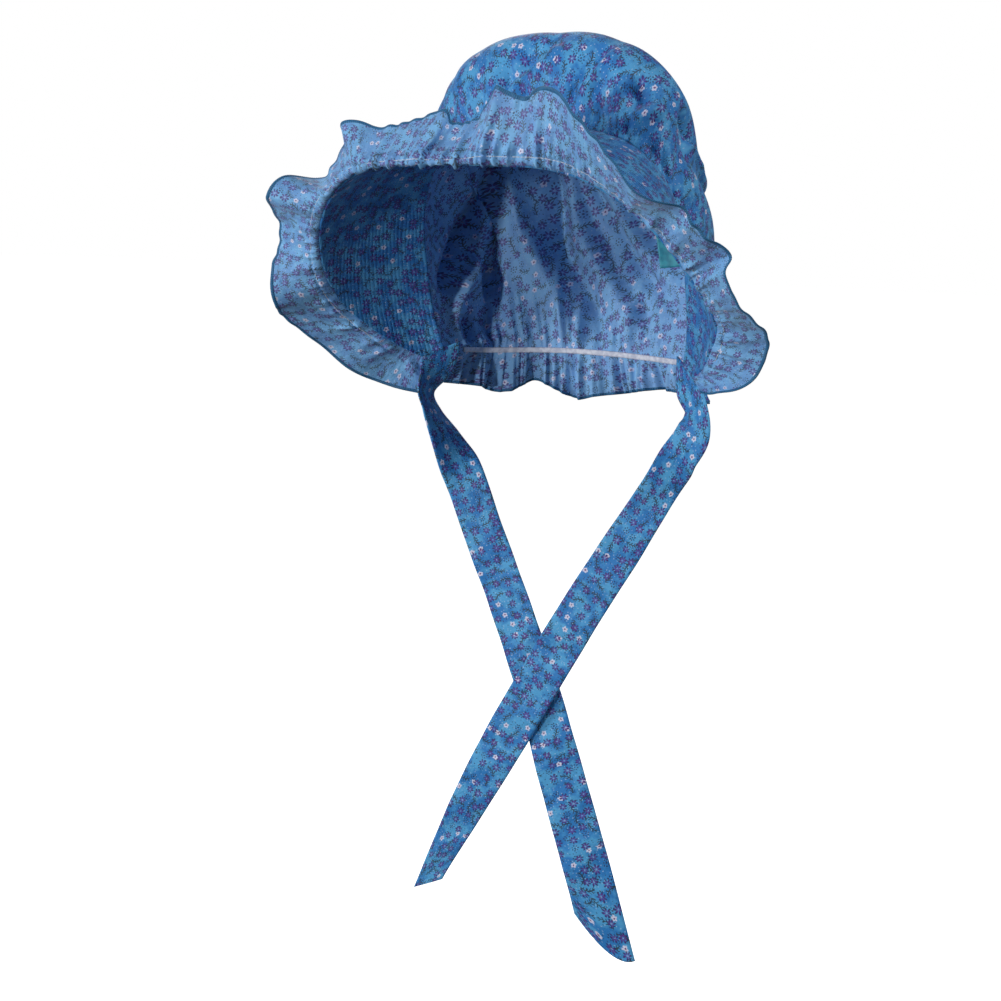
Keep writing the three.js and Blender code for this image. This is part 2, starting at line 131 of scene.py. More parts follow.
# Nape line where the elastic gathers the crown
NAPE_SIDE_GAP = 12
NAPE_BACK = 50
NAPE_WIDTH_SHARE = 0.97
NAPE_ROUNDNESS = 0.9

# Crown: the handles of the curve from the seam over the puff to the nape. The cloth lies in the middle of
# its solid's wall. The sewn shares are the parts of the way down over which the gathers rise from a seam
CROWN_THICKNESS = 0.45
CROWN_WALL_HALF = 0.7
SEAM_SEWN_SHARE = 0.025
NAPE_SEWN_SHARE = 0.022
NAPE_PRESS = 0.12
CORNER_FADE = 0.08
CROWN_SLUMP = 9
CROWN_COLUMNS = ("at", "rise", "back", "lift", "nape_out", "nape_back", "nape_up")
CROWN_HALF = [
    (0, 127, 20, 0, 0, 62, 183),
    (0.2, 118, 20, 12, 24, 54, 175),
    (0.35, 81, 27, 34, 33, 32, 150),
    (0.5, 26, 22, 62, 15, 25, 114),
    (0.6, 20, 27, 27, 20, 24, 90),
    (0.75, 7, 22, 12, 9, 13, 50),
    (0.9, 4, 11, 4, 5, 6, 18),
    (1.0, 1, 3, 0, 1, 2, 2),
]

# Folds of the crown's cloth, each a line of points: place along the seam, place down from seam to nape,
# width and height. Sharp creases stand outwards, and so do the round ridges that have a height above 0.
# A kind's heights are multiplied by its boldness, and a lower sharpness gives a more pointed crest
CREASE_BOLDNESS = 1.1
CREASE_SHARPNESS = 1.15
RIDGE_BOLDNESS = 1.35
RIDGE_SHARPNESS = 1.7
CREASES = [
    [
        (-0.33, 0.56, 5, 0), (-0.36, 0.65, 6, 11.5), (-0.47, 0.69, 8, 17), (-0.57, 0.76, 8, 19),
        (-0.63, 0.855, 7, 15), (-0.645, 0.945, 5, 10.5), (-0.63, 1.0, 3, 3),
    ],
    [
        (-0.18, 0.58, 6, 0), (-0.185, 0.73, 9, 13.5), (-0.2, 0.8, 10, 19), (-0.205, 0.86, 10, 19),
        (-0.16, 0.89, 9, 15), (-0.12, 0.92, 8, 11.5), (-0.05, 0.96, 6, 6.5), (-0.02, 1.0, 3, 2),
    ],
    [
        (-0.14, 0.66, 4, 0), (-0.12, 0.77, 6, 5), (-0.095, 0.82, 7, 8.5), (-0.055, 0.85, 7, 10.5),
        (0.015, 0.9, 7, 8.5), (0.13, 0.94, 6, 6.5), (0.22, 0.985, 4, 3),
    ],
    [
        (-0.1, 0.66, 4, 0), (-0.08, 0.77, 6, 10.5), (-0.02, 0.82, 7, 13.5), (0.04, 0.86, 7, 13.5),
        (0.125, 0.9, 7, 10.5), (0.285, 0.925, 6, 5), (0.36, 0.94, 4, 0),
    ],
    [
        (0.02, 0.7, 5, 0), (0.05, 0.8, 8, 10.5), (0.12, 0.84, 9, 13.5), (0.23, 0.87, 9, 11.5),
        (0.36, 0.88, 7, 5),
    ],
    [
        (-0.44, 0.52, 4, 0), (-0.475, 0.58, 5, 10.5), (-0.57, 0.59, 5, 13.5),
        (-0.67, 0.54, 5, 13.5), (-0.78, 0.41, 5, 10.5), (-0.84, 0.35, 4, 0),
    ],
    [
        (-0.8, 0.75, 4, 0), (-0.805, 0.81, 7, 10.5), (-0.815, 0.93, 6, 8.5), (-0.81, 1.0, 3, 2),
    ],
]
RIDGES = [
    [
        (-0.31, 0.6, 6, 0), (-0.325, 0.68, 7.5, -5.5), (-0.34, 0.755, 9, -9), (-0.34, 0.8, 11, -9),
        (-0.31, 0.845, 12.5, -11), (-0.26, 0.9, 11, -9), (-0.2, 0.955, 9, -5.5), (-0.16, 1.0, 5, 0),
    ],
    [
        (-0.15, 0.68, 6, 0), (-0.14, 0.8, 7.5, -5.5), (-0.12, 0.84, 9, -7), (-0.06, 0.885, 10, -9),
        (0.035, 0.925, 10, -7), (0.12, 0.96, 7.5, -3.5),
    ],
    [
        (-0.06, 0.7, 5, 0), (0.015, 0.815, 7.5, -7), (0.08, 0.85, 7.5, -9), (0.15, 0.87, 7.5, -7),
        (0.27, 0.89, 7.5, -5.5), (0.37, 0.9, 6, 0),
    ],
    [
        (-0.97, 0.9, 4, 0), (-0.89, 0.53, 5, -7), (-0.8, 0.56, 6, -11), (-0.715, 0.69, 7.5, -11),
        (-0.665, 0.83, 6, -7), (-0.645, 0.92, 5, 0),
    ],
    [
        (-0.46, 0.66, 6, 0), (-0.55, 0.69, 7.5, -9), (-0.59, 0.74, 7.5, -9), (-0.65, 0.7, 7.5, -11),
        (-0.7, 0.72, 6, 0),
    ],
    [
        (0.04, 0.27, 8, 0), (0.01, 0.19, 9, -4), (-0.03, 0.15, 9, -6), (-0.08, 0.11, 8, -6),
        (-0.115, 0.08, 6, -4), (-0.13, 0.05, 5, 0),
    ],
    [
        (0.06, 0.2, 8, 0), (0.04, 0.173, 8, 3), (0, 0.125, 8, 4), (-0.055, 0.09, 7, 4),
        (-0.085, 0.07, 6, 3), (-0.1, 0.05, 5, 0),
    ],
    [
        (0.21, 0.24, 7, 0), (0.195, 0.19, 7, 4), (0.18, 0.134, 7, 6), (0.165, 0.1, 6, 6),
        (0.145, 0.07, 6, 4), (0.14, 0.04, 5, 0),
    ],
    [
        (0.19, 0.24, 7, 0), (0.175, 0.185, 7, -5), (0.16, 0.134, 7, -7), (0.14, 0.1, 6, -6),
        (0.12, 0.07, 5, -4), (0.11, 0.04, 5, 0),
    ],
    [
        (0.25, 0.11, 8, 0), (0.275, 0.113, 9, -6), (0.305, 0.116, 9, -6), (0.34, 0.12, 8, 0),
    ],
    [
        (0.24, 0.026, 5, 2), (0.305, 0.065, 6, 5), (0.36, 0.137, 6, 4), (0.39, 0.18, 5, 0),
    ],
    [
        (0.5, 0.3, 5, 0), (0.5, 0.36, 6, 5), (0.48, 0.53, 7, 6), (0.4, 0.67, 7, 4),
        (0.36, 0.72, 6, 0),
    ],
    [
        (0.41, 0.28, 5, 0), (0.425, 0.33, 5, -4), (0.45, 0.4, 5, -5), (0.465, 0.46, 5, -3),
        (0.47, 0.52, 5, 0),
    ],
]

# Neck frill below the elastic. The fans are how far its pleats open from the elastic to the hem, in shares
# of the crown's height
FRILL_TURN_FROM = 0.93
FRILL_FLARE = 9
FRILL_WAVES = 9
FRILL_WAVE_HEIGHT = 4.5
FRILL_CORNER_FADE = 0.1
FRILL_GATHER_FAN = 0.1
FRILL_FOLD_FAN = 0.16
FRILL_PLEATING = 0.9
HEM_COLUMNS = ("at", "drop")
HEM_ROWS = [
    (-1, 24),
    (-0.8, 26),
    (-0.7, 27),
    (-0.58, 31),
    (-0.5, 29),
    (-0.42, 25),
    (-0.35, 22),
    (-0.28, 25),
    (-0.15, 33),
    (-0.05, 30),
    (0.05, 27),
    (0.2, 23),
    (0.3, 21),
    (0.45, 22),
    (0.6, 24),
    (1.0, 24),
]

# Elastic: reach is the share of the nape that it covers
ELASTIC_HEIGHT = 3.5
ELASTIC_THICKNESS = 0.8
ELASTIC_REACH = 0.93
ELASTIC_SWAY = 0.9
ELASTIC_RIPPLE = 0.4

# Ties: heading turns the width away from the X axis, in degrees. The top end is tucked under the brim and the
# low end is cut at a slant: each takes one part of the length, divided into so many parts
TIE_THICKNESS = 1.0
TIE_SEAT_SHARE = 0.05
TIE_SEWN_DROP = 12
TIE_TUCK = 1.5
TIE_TUCK_PARTS = 60
TIE_SLANT_PARTS = 8
TIE_CUT_HALF_WIDTH = 14
TIE_CUT_FULLNESS = 1.12
LEFT_TIE_END = (20, 11)
RIGHT_TIE_END = (-8, 0)
TIE_COLUMNS = ("at", "across", "forward", "heading", "width")
LEFT_TIE_ROWS = [
    (0, 0, 0, 40, 25),
    (14, -5, 0, 63, 24),
    (28, -10, 3, 96, 22),
    (40, -3, 5, 97, 23),
    (54, 9, 8, 75, 26),
    (81, 28, 11, 24, 27),
    (116, 43, 9, 14, 28),
    (161, 62, 5, 10, 29),
    (216, 84, 1, 10, 30),
    (273, 103, -2, 20, 31),
    (336, 124, -6, 28, 31),
    (379, 138, -8, 30, 31),
]
RIGHT_TIE_ROWS = [
    (0, 0, 0, 32, 25),
    (12, -4, 2, 26, 24),
    (24, -11, 5, 32, 24),
    (38, -11, 6, 17, 26),
    (53, -1, 2, 19, 26),
    (76, 17, -9, -12, 24),
    (117, 40, -4, -12, 27),
    (157, 63, 0, -10, 28),
    (203, 88, 4, -10, 29),
    (255, 115, 9, -10, 29),
    (305, 140, 13, -16, 24),
    (342, 157, 16, -20, 18),
    (363, 166, 18, -20, 15),
]

# Label: its place along the seam, and how far its tip leans forward
LABEL_LENGTH = 22
LABEL_REACH = 14
LABEL_THICKNESS = 0.9
LABEL_AT = 0.645
LABEL_TIP_FORWARD = 0.2
LABEL_BELOW_SEAM = 2.4
LABEL_CURL = 0.6


def mirrored(half):
    """A table given for one half, mirrored about the middle."""
    other = [(-row[0], *row[1:]) for row in reversed(half[1:])]
    return other + half


BRIM_ROWS = mirrored(BRIM_HALF)
CROWN_ROWS = mirrored(CROWN_HALF)


def read(columns, rows, name, at):
    """One column of a table at many places, on a smooth curve through its rows."""
    table = np.array(rows, dtype=float)
    place = table[:, 0]
    value = table[:, columns.index(name)]
    last = len(place) - 1
    at = np.clip(at, place[0], place[last])
    i = np.clip(np.searchsorted(place, at, side="left") - 1, 0, last - 1)
    before = np.maximum(i - 1, 0)
    after = np.minimum(i + 2, last)
    span = place[i + 1] - place[i]
    t = (at - place[i]) / span
    leave = (value[i + 1] - value[before]) / (place[i + 1] - place[before]) * span
    arrive = (value[after] - value[i]) / (place[after] - place[i]) * span
    start = (2 * t**3 - 3 * t**2 + 1) * value[i] + (t**3 - 2 * t**2 + t) * leave
    return start + (3 * t**2 - 2 * t**3) * value[i + 1] + (t**3 - t**2) * arrive


def vec(x, y, z):
    return np.stack(np.broadcast_arrays(x, y, z), axis=-1).astype(float)


def times(vectors, scale):
    return vectors * np.asarray(scale)[..., None]


def unit(vectors):
    return vectors / np.maximum(np.linalg.norm(vectors, axis=-1, keepdims=True), 1e-9)


def smooth(low, high, value):
    t = np.clip((value - low) / (high - low), 0, 1)
    return t * t * (3 - 2 * t)


def power(value, exponent):
    return np.sign(value) * np.abs(value) ** exponent


def by_length(x, y):
    """Share of a curve's length at each of its points."""
    steps = np.hypot(np.diff(x), np.diff(y))
    length = np.concatenate([[0], np.cumsum(steps)])
    return length / length[-1]


arch_angle = np.linspace(-ARCH_SWEEP, ARCH_SWEEP, 2401)
ARCH_X = ARCH_HALF_WIDTH * power(np.sin(arch_angle), ARCH_SQUARENESS)
ARCH_Z = ARCH_HEIGHT * power(np.cos(arch_angle), ARCH_SQUARENESS)
ARCH_SHARE = by_length(ARCH_X, ARCH_Z)


def arch_point(at):
    share = np.clip((at + 1) / 2, 0, 1)
    return np.interp(share, ARCH_SHARE, ARCH_X), np.interp(share, ARCH_SHARE, ARCH_Z)


def lean(x, y, z):
    c, s = math.cos(ARCH_LEAN), math.sin(ARCH_LEAN)
    return vec(x, y * c - z * s, y * s + z * c)


def arch_frame(at):
    """Point on the seam, and the directions along it, outwards and backwards."""
    step = 0.02
    x1, z1 = arch_point(at - step)
    x2, z2 = arch_point(at + step)
    run = np.hypot(x2 - x1, z2 - z1)
    dx, dz = (x2 - x1) / run, (z2 - z1) / run
    x, z = arch_point(at)
    point = lean(x, 0 * x, z) - np.array([0, 0, HEAD_SEAT_HEIGHT])
    return point, lean(dx, 0 * x, dz), lean(-dz, 0 * x, dx), lean(0 * x, 0 * x + 1, 0 * x)


def brim_frame(at):
    """The seam's point and directions, and the brim's way ahead, normal and depth, all by name."""
    point, along, out, back = arch_frame(at)
    flare = np.radians(read(BRIM_COLUMNS, BRIM_ROWS, "flare", at))
    return {
        "point": point,
        "along": along,
        "out": out,
        "back": back,
        "ahead": times(out, np.sin(flare)) - times(back, np.cos(flare)),
        "normal": times(out, np.cos(flare)) + times(back, np.sin(flare)),
        "depth": read(BRIM_COLUMNS, BRIM_ROWS, "depth", at),
    }


def brim_surface(at, reach):
    """Middle of the brim's cloth: 0 at the seam, 1 at the front edge."""
    here = brim_frame(at)
    depth = here["depth"]
    bow = BRIM_BOW * np.sin(np.pi * reach) * np.minimum(1, depth / BRIM_FULL_BOW_DEPTH)
    return here["point"] + times(here["ahead"], depth * reach) + times(here["normal"], bow)


def ruffle_surface(at, reach):
    """Middle of the ruffle's cloth: 0 at the brim's edge, 1 at the free edge."""
    here = brim_frame(at)
    start = here["point"] + times(here["ahead"], here["depth"] + SEAM_GAP)
    turn = np.radians(read(RUFFLE_COLUMNS, RUFFLE_ROWS, "turn", at))
    length = read(RUFFLE_COLUMNS, RUFFLE_ROWS, "reach", at)
    slide = read(RUFFLE_COLUMNS, RUFFLE_ROWS, "slide", at)
    lie = times(here["out"], np.sin(turn)) - times(here["back"], np.cos(turn))
    folded = np.clip((turn - RUFFLE_FOLDED_FROM) / RUFFLE_FOLDED_SPAN, 0, 1)
    lead = RUFFLE_LEAD + RUFFLE_LEAD_FOLDED * folded
    eased = lead * (1 - np.exp(-2 * length * reach / lead))
    sideways = times(here["along"], slide * reach)
    return start + times(here["ahead"], eased) + times(lie, length * reach - eased / 2) + sideways


def nape_frame(at):
    """Point on the line where the elastic gathers the crown, and the way outwards."""
    corner = arch_frame(np.array([1.0]))[0][0]
    turn = at * math.pi / 2
    x = corner[0] * NAPE_WIDTH_SHARE * power(np.sin(turn), NAPE_ROUNDNESS)
    y = corner[1] + NAPE_SIDE_GAP + NAPE_BACK * np.abs(np.cos(turn)) ** NAPE_ROUNDNESS
    return vec(x, y, corner[2] + 1), vec(np.sin(turn), np.cos(turn), 0 * turn)


def crown_bag(at, down):
    """Smooth bag of the crown: 0 at the seam, 1 at the nape."""
    point, along, out, back = arch_frame(at)
    side = np.sign(at)
    col = {name: read(CROWN_COLUMNS, CROWN_ROWS, name, at) for name in CROWN_COLUMNS[1:]}
    upright = col["rise"] / np.hypot(col["rise"], col["back"])
    start = point + times(back, SEAM_GAP + CROWN_WALL_HALF * upright)
    seam_handle = times(out, col["rise"]) + times(back, col["back"]) - times(along, side * col["lift"])
    nape = nape_frame(at)[0]
    nape_handle = vec(side * col["nape_out"], col["nape_back"], col["nape_up"])
    t = down
    bag = times(start, (1 - t) ** 3) + times(start + seam_handle, 3 * t * (1 - t) ** 2)
    bag = bag + times(nape + nape_handle, 3 * t**2 * (1 - t)) + times(nape, t**3)
    slump = CROWN_SLUMP * np.sin(np.pi * t) * (1 - at * at)
    return bag + vec(-slump, 0 * at, 0 * at)


class Gathers:
    """A row of small pleats along a gathered line. Each has its place, width, depth, length and slant."""

    def __init__(self, count, width, depth, length, slant):
        spread = (np.arange(count) + 0.5) / count * 2 - 1
        self.place = spread + chance.uniform(-0.6, 0.6, count) / count
        self.width = width * chance.uniform(0.6, 1.4, count)
        self.depth = depth * chance.uniform(0.3, 1.35, count)
        self.length = length * chance.uniform(0.3, 1.4, count)
        self.slant = slant * chance.uniform(-1, 1, count)

    def relief(self, at, away):
        """Height of the cloth at a place, whose distance from the gathered line is a share of the piece."""
        total = np.zeros_like(at)
        for i in range(len(self.place)):
            run = away / self.length[i]
            middle = self.place[i] + self.slant[i] * run
            width = self.width[i] * (1 + 1.2 * run)
            fade = np.clip(1 - run, 0, 1) ** 1.3
            total -= self.depth[i] * fade * np.exp(-((np.abs(at - middle) / width) ** 1.5))
        return total


SEAM_GATHERS = Gathers(64, 0.009, 2.0, 0.12, 0.012)
SEAM_FOLDS = Gathers(26, 0.022, 4.2, 0.45, 0.05)
NAPE_GATHERS = Gathers(44, 0.012, 4.2, 0.13, 0.02)
NAPE_FOLDS = Gathers(19, 0.02, 4.0, 0.3, 0.06)
RUFFLE_GATHERS = Gathers(140, 0.0036, 1.7, 0.35, 0.003)
RUFFLE_FOLDS = Gathers(52, 0.009, 3.4, 1.0, 0.016)


def smooth_line(points, parts=6):
    """A smooth line through points, whose columns are place along, place down, width and height."""
    columns = ("step", "at", "down", "width", "height")
    rows = [(i, *point) for i, point in enumerate(points)]
    steps = np.linspace(0, len(points) - 1, (len(points) - 1) * parts + 1)
    return [read(columns, rows, name, steps) for name in columns[1:]]


def line_relief(place, points, sharpness):
    """Height of one fold over a grid of places: its line is given by places on the crown."""
    at, down, width, height = smooth_line(points)
    line = crown_bag(at, np.minimum(down, 1))
    nearest = np.full(place.shape[:2], 1e9)
    relief = np.zeros(place.shape[:2])
    for i in range(len(line) - 1):
        run = line[i + 1] - line[i]
        t = np.clip(np.sum((place - line[i]) * run, axis=-1) / np.sum(run * run), 0, 1)
        far = np.linalg.norm(place - line[i] - times(np.broadcast_to(run, place.shape), t), axis=-1)
        here_width = width[i] + (width[i + 1] - width[i]) * t
        here_height = height[i] + (height[i + 1] - height[i]) * t
        shape = here_height * np.exp(-((far / here_width) ** sharpness))
        relief = np.where(far < nearest, shape, relief)
        nearest = np.minimum(far, nearest)
    return relief


def corner_fade(at, share):
    """1 along the seam, falling to 0 over a share of its length at both ends."""
    return np.minimum(1, (1 - np.abs(at)) / share)


def crown_relief(at, down):
    """Gathers at both ends and the long folds between them."""
    seam = SEAM_GATHERS.relief(at, down) + SEAM_FOLDS.relief(at, down)
    nape = NAPE_GATHERS.relief(at, 1 - down) + NAPE_FOLDS.relief(at, 1 - down)
    rise = NAPE_PRESS + (1 - NAPE_PRESS) * smooth(0, NAPE_SEWN_SHARE, 1 - down)
    relief = seam * smooth(0, SEAM_SEWN_SHARE, down) + nape * rise
    place = crown_bag(at, down)
    for points in CREASES:
        relief += CREASE_BOLDNESS * line_relief(place, points, CREASE_SHARPNESS)
    for points in RIDGES:
        relief += RIDGE_BOLDNESS * line_relief(place, points, RIDGE_SHARPNESS)
    return relief * corner_fade(at, CORNER_FADE)


def surface_normal(surface, at, down, step=0.004):
    a = np.clip(at, -1 + step, 1 - step)
    d = np.clip(down, step, 1 - step)
    along = surface(a + step, d) - surface(a - step, d)
    fall = surface(a, d + step) - surface(a, d - step)
    return unit(np.cross(along, fall))


def crown_surface(at, down):
    """Crown cloth, and beyond 1 the neck frill that is the same cloth."""
    bag_down = np.minimum(down, 1)
    fall = np.maximum(down - 1, 0)
    out = nape_frame(at)[1]
    normal = surface_normal(crown_bag, at, bag_down)
    normal = unit(normal + times(out - normal, smooth(FRILL_TURN_FROM, 1, bag_down)))
    relief = crown_relief(at, bag_down)
    bag = crown_bag(at, bag_down) + times(normal, relief)
    wave = np.sin(FRILL_WAVES * np.pi * at) * corner_fade(at, FRILL_CORNER_FADE)
    pleats = NAPE_GATHERS.relief(at, FRILL_GATHER_FAN * fall) - NAPE_GATHERS.relief(at, 0 * fall)
    pleats = pleats + NAPE_FOLDS.relief(at, FRILL_FOLD_FAN * fall) - NAPE_FOLDS.relief(at, 0 * fall)
    bulge = FRILL_FLARE * fall + FRILL_WAVE_HEIGHT * wave * fall
    bulge = bulge - FRILL_PLEATING * pleats * corner_fade(at, CORNER_FADE)
    hem = read(HEM_COLUMNS, HEM_ROWS, "drop", at)
    return bag + times(out, bulge) + vec(0 * at, 0 * at, -hem * fall)


def ruffle_cloth(at, reach):
    """Ruffle with its pleats, which fan out on both sides of the thread that gathers it."""
    normal = surface_normal(ruffle_surface, at, reach)
    length = read(RUFFLE_COLUMNS, RUFFLE_ROWS, "reach", at)
    from_thread = reach - HEADING_DEPTH / length
    away = np.abs(from_thread) * np.where(from_thread < 0, HEADING_FAN, 1)
    pleats = RUFFLE_GATHERS.relief(at, away) + RUFFLE_FOLDS.relief(at, away)
    pressed = THREAD_PRESS + (1 - THREAD_PRESS) * smooth(0, THREAD_PRESS_REACH, away)
    flutter = FLUTTER_HEIGHT * np.sin(at * 143 + 2 * np.sin(at * 31)) * smooth(0.6, 1, reach)
    relief = pleats * pressed * smooth(0, THREAD_PRESS_REACH, reach) + flutter
    return ruffle_surface(at, reach) - times(normal, relief)


def flattened(place, rounds=80):
    """Flat positions for a grid of places, with every part of the cloth kept as near to its own shape
    as can be. Each triangle is turned to fit its neighbours, and then all the places are solved at once."""
    rows, columns = place.shape[:2]
    number = np.arange(rows * columns).reshape(rows, columns)
    square = [number[:-1, :-1], number[:-1, 1:], number[1:, 1:], number[1:, :-1]]
    square = np.stack(square, axis=-1).reshape(-1, 4)
    halves = ([0, 1, 2], [0, 2, 3], [0, 1, 3], [1, 2, 3])
    triangles = np.concatenate([square[:, half] for half in halves])

    # Each triangle's own flat shape, and a weight for each of its edges
    a, b, c = (place.reshape(-1, 3)[triangles[:, k]] for k in range(3))
    base = np.linalg.norm(b - a, axis=-1)
    lead = unit(b - a)
    cx = np.sum((c - a) * lead, axis=-1)
    cy = np.linalg.norm(c - a - times(lead, cx), axis=-1)
    none = 0 * base
    own = [np.stack([none, none], -1), np.stack([base, none], -1), np.stack([cx, cy], -1)]
    own = np.stack(own, axis=1)
    edge = own[:, [1, 2, 0]] - own
    u = own - own[:, [2, 0, 1]]
    v = own[:, [1, 2, 0]] - own[:, [2, 0, 1]]
    cross = np.abs(u[..., 0] * v[..., 1] - u[..., 1] * v[..., 0])
    weight = np.clip(np.sum(u * v, -1) / np.maximum(cross, 1e-6), 0.02, 20)
    start, end = triangles, triangles[:, [1, 2, 0]]
    matrix = np.zeros((rows * columns, rows * columns))
    for first, second, sign in ((start, start, 1), (end, end, 1), (start, end, -1), (end, start, -1)):
        np.add.at(matrix, (first, second), sign * weight)
    matrix[0, 0] += 1
    inverse = np.linalg.inv(matrix)

    # A first guess from the lengths along the rows and down the middle
    middle = columns // 2
    steps = np.linalg.norm(np.diff(place, axis=1), axis=-1)
    along = np.concatenate([np.zeros((rows, 1)), np.cumsum(steps, axis=1)], 1)
    fall = run_along(place[:, middle][None], 0)
    flat = np.stack([along - along[:, middle:middle + 1], np.broadcast_to(-fall[:, None], along.shape)], -1)
    flat = flat.reshape(-1, 2)
    for _ in range(rounds):
        moved = flat[end] - flat[start]
        pull = np.einsum("tk,tki,tkj->tij", weight, moved, edge)
        turn = np.arctan2(pull[:, 1, 0] - pull[:, 0, 1], pull[:, 0, 0] + pull[:, 1, 1])
        c, s = np.cos(turn)[:, None], np.sin(turn)[:, None]
        want = np.stack([c * edge[..., 0] - s * edge[..., 1], s * edge[..., 0] + c * edge[..., 1]], -1)
        side = np.zeros_like(flat)
        np.add.at(side, end, weight[..., None] * want)
        np.add.at(side, start, -weight[..., None] * want)
        side[0] += flat[0]
        flat = inverse @ side
    return flat.reshape(rows, columns, 2)


def cloth_object(name, bm, faces_out=True):
    if not faces_out:
        bmesh.ops.reverse_faces(bm, faces=bm.faces[:])
    mesh = bpy.data.meshes.new(name)
    bm.to_mesh(mesh)
    bm.free()
    piece = bpy.data.objects.new(name, mesh)
    bpy.context.scene.collection.objects.link(piece)
    mesh.shade_smooth()
    return piece


def grid_cloth(name, columns, rows, surface, cut, row_at=None, faces_out=True):
    """A fine grid whose own coordinates, -1 to 1 along and 0 to 1 down, are carried onto a surface.
    The UV map holds the place on the flat cloth, in millimetres."""
    bm = bmesh.new()
    bmesh.ops.create_grid(bm, x_segments=columns, y_segments=rows, size=1)
    piece = cloth_object(name, bm, faces_out)
    mesh = piece.data
    flat = np.empty(len(mesh.vertices) * 3)
    mesh.vertices.foreach_get("co", flat)
    flat = flat.reshape(rows + 1, columns + 1, 3)
    at = flat[..., 0]
    share = (flat[..., 1] + 1) / 2
    down = share if row_at is None else row_at(share)
    place = surface(at, down)
    mesh.vertices.foreach_set("co", (place * MM).ravel())
    u, v = cut(at, down, place)
    corner = np.empty(len(mesh.loops), dtype=np.int32)
    mesh.loops.foreach_get("vertex_index", corner)
    layer = mesh.uv_layers.new(name="cut")
    layer.data.foreach_set("uv", np.stack([u.ravel()[corner], v.ravel()[corner]], axis=-1).ravel())
    mesh.update()
    return piece, place


def solidify(piece, thickness, inner_material=0):
    wall = piece.modifiers.new("wall", "SOLIDIFY")
    wall.thickness = thickness * MM
    wall.offset = 0
    wall.use_even_offset = False
    wall.material_offset = inner_material


def run_along(place, row):
    """Distance along one row of a grid of places."""
    steps = np.linalg.norm(np.diff(place[row], axis=0), axis=-1)
    return np.concatenate([[0], np.cumsum(steps)])


# Materials

def srgb(red, green, blue):
    channels = []
    for value in (red, green, blue):
        c = value / 255
        channels.append(c / 12.92 if c <= 0.04045 else ((c + 0.055) / 1.055) ** 2.4)
    return (*channels, 1.0)


class Nodes:
    """Adds nodes to one tree and wires them."""

    def __init__(self, tree):
        self.tree = tree

    def wire(self, socket, value):
        if isinstance(value, bpy.types.NodeSocket):
            self.tree.links.new(value, socket)
        else:
            socket.default_value = value

    def add(self, kind, inputs=None, **settings):
        node = self.tree.nodes.new(kind)
        for name, value in settings.items():
            setattr(node, name, value)
        for name, value in (inputs or {}).items():
            self.wire(node.inputs[name], value)
        return node

    def math(self, operation, *values, clamp=False):
        node = self.tree.nodes.new("ShaderNodeMath")
        node.operation = operation
        node.use_clamp = clamp
        for socket, value in zip(node.inputs, values):
            self.wire(socket, value)
        return node.outputs[0]

    def vector(self, operation, *values):
        node = self.tree.nodes.new("ShaderNodeVectorMath")
        node.operation = operation
        for socket, value in zip(node.inputs, values):
            self.wire(socket, value)
        return node.outputs["Value" if operation in ("LENGTH", "DISTANCE", "DOT_PRODUCT") else "Vector"]

    def scaled(self, vector, scale):
        node = self.add("ShaderNodeVectorMath", {0: vector, "Scale": scale}, operation="SCALE")
        return node.outputs["Vector"]

    def ramp(self, value, low, high, to_low=0.0, to_high=1.0):
        inputs = {"Value": value, "From Min": low, "From Max": high, "To Min": to_low, "To Max": to_high}
        return self.add("ShaderNodeMapRange", inputs, interpolation_type="SMOOTHSTEP").outputs[0]

    def mix(self, factor, first, second):
        node = self.tree.nodes.new("ShaderNodeMix")
        node.data_type = "RGBA"
        self.wire(node.inputs[0], factor)
        self.wire(node.inputs[6], first)
        self.wire(node.inputs[7], second)
        return node.outputs[2]

    def product(self, first, second):
        return self.math("MULTIPLY", first, second)

    def length(self, x, y):
        return self.math("SQRT", self.math("ADD", self.math("POWER", x, 2.0), self.math("POWER", y, 2.0)))

    def noise(self, vector, scale, detail=2.0, rough=0.5):
        inputs = {"Vector": vector, "Scale": scale, "Detail": detail, "Roughness": rough}
        return self.add("ShaderNodeTexNoise", inputs, noise_dimensions="2D").outputs[0]

    def cells(self, vector, randomness):
        """Two-dimensional cells a unit wide: vector from the cell's point, and three random values."""
        inputs = {"Vector": vector, "Scale": 1.0, "Randomness": randomness}
        node = self.add("ShaderNodeTexVoronoi", inputs, voronoi_dimensions="2D", feature="F1")
        offset = self.vector("SUBTRACT", vector, node.outputs["Position"])
        parts = self.add("ShaderNodeSeparateColor", {"Color": node.outputs["Color"]})
        return offset, parts.outputs[0], parts.outputs[1], parts.outputs[2]

    def petals(self, angle, radius, count, ring, half_length, half_width, soft=0.22):
        """Mask of a ring of oval petals round a middle, from polar coordinates in millimetres."""
        part = self.math("FRACT", self.product(angle, count / math.tau))
        off = self.product(self.math("SUBTRACT", part, 0.5), math.tau / count)
        x = self.math("SUBTRACT", self.product(radius, self.math("COSINE", off)), ring)
        y = self.product(radius, self.math("SINE", off))
        far = self.length(self.math("DIVIDE", x, half_length), self.math("DIVIDE", y, half_width))
        return self.ramp(far, 1 + soft, 1 - soft)


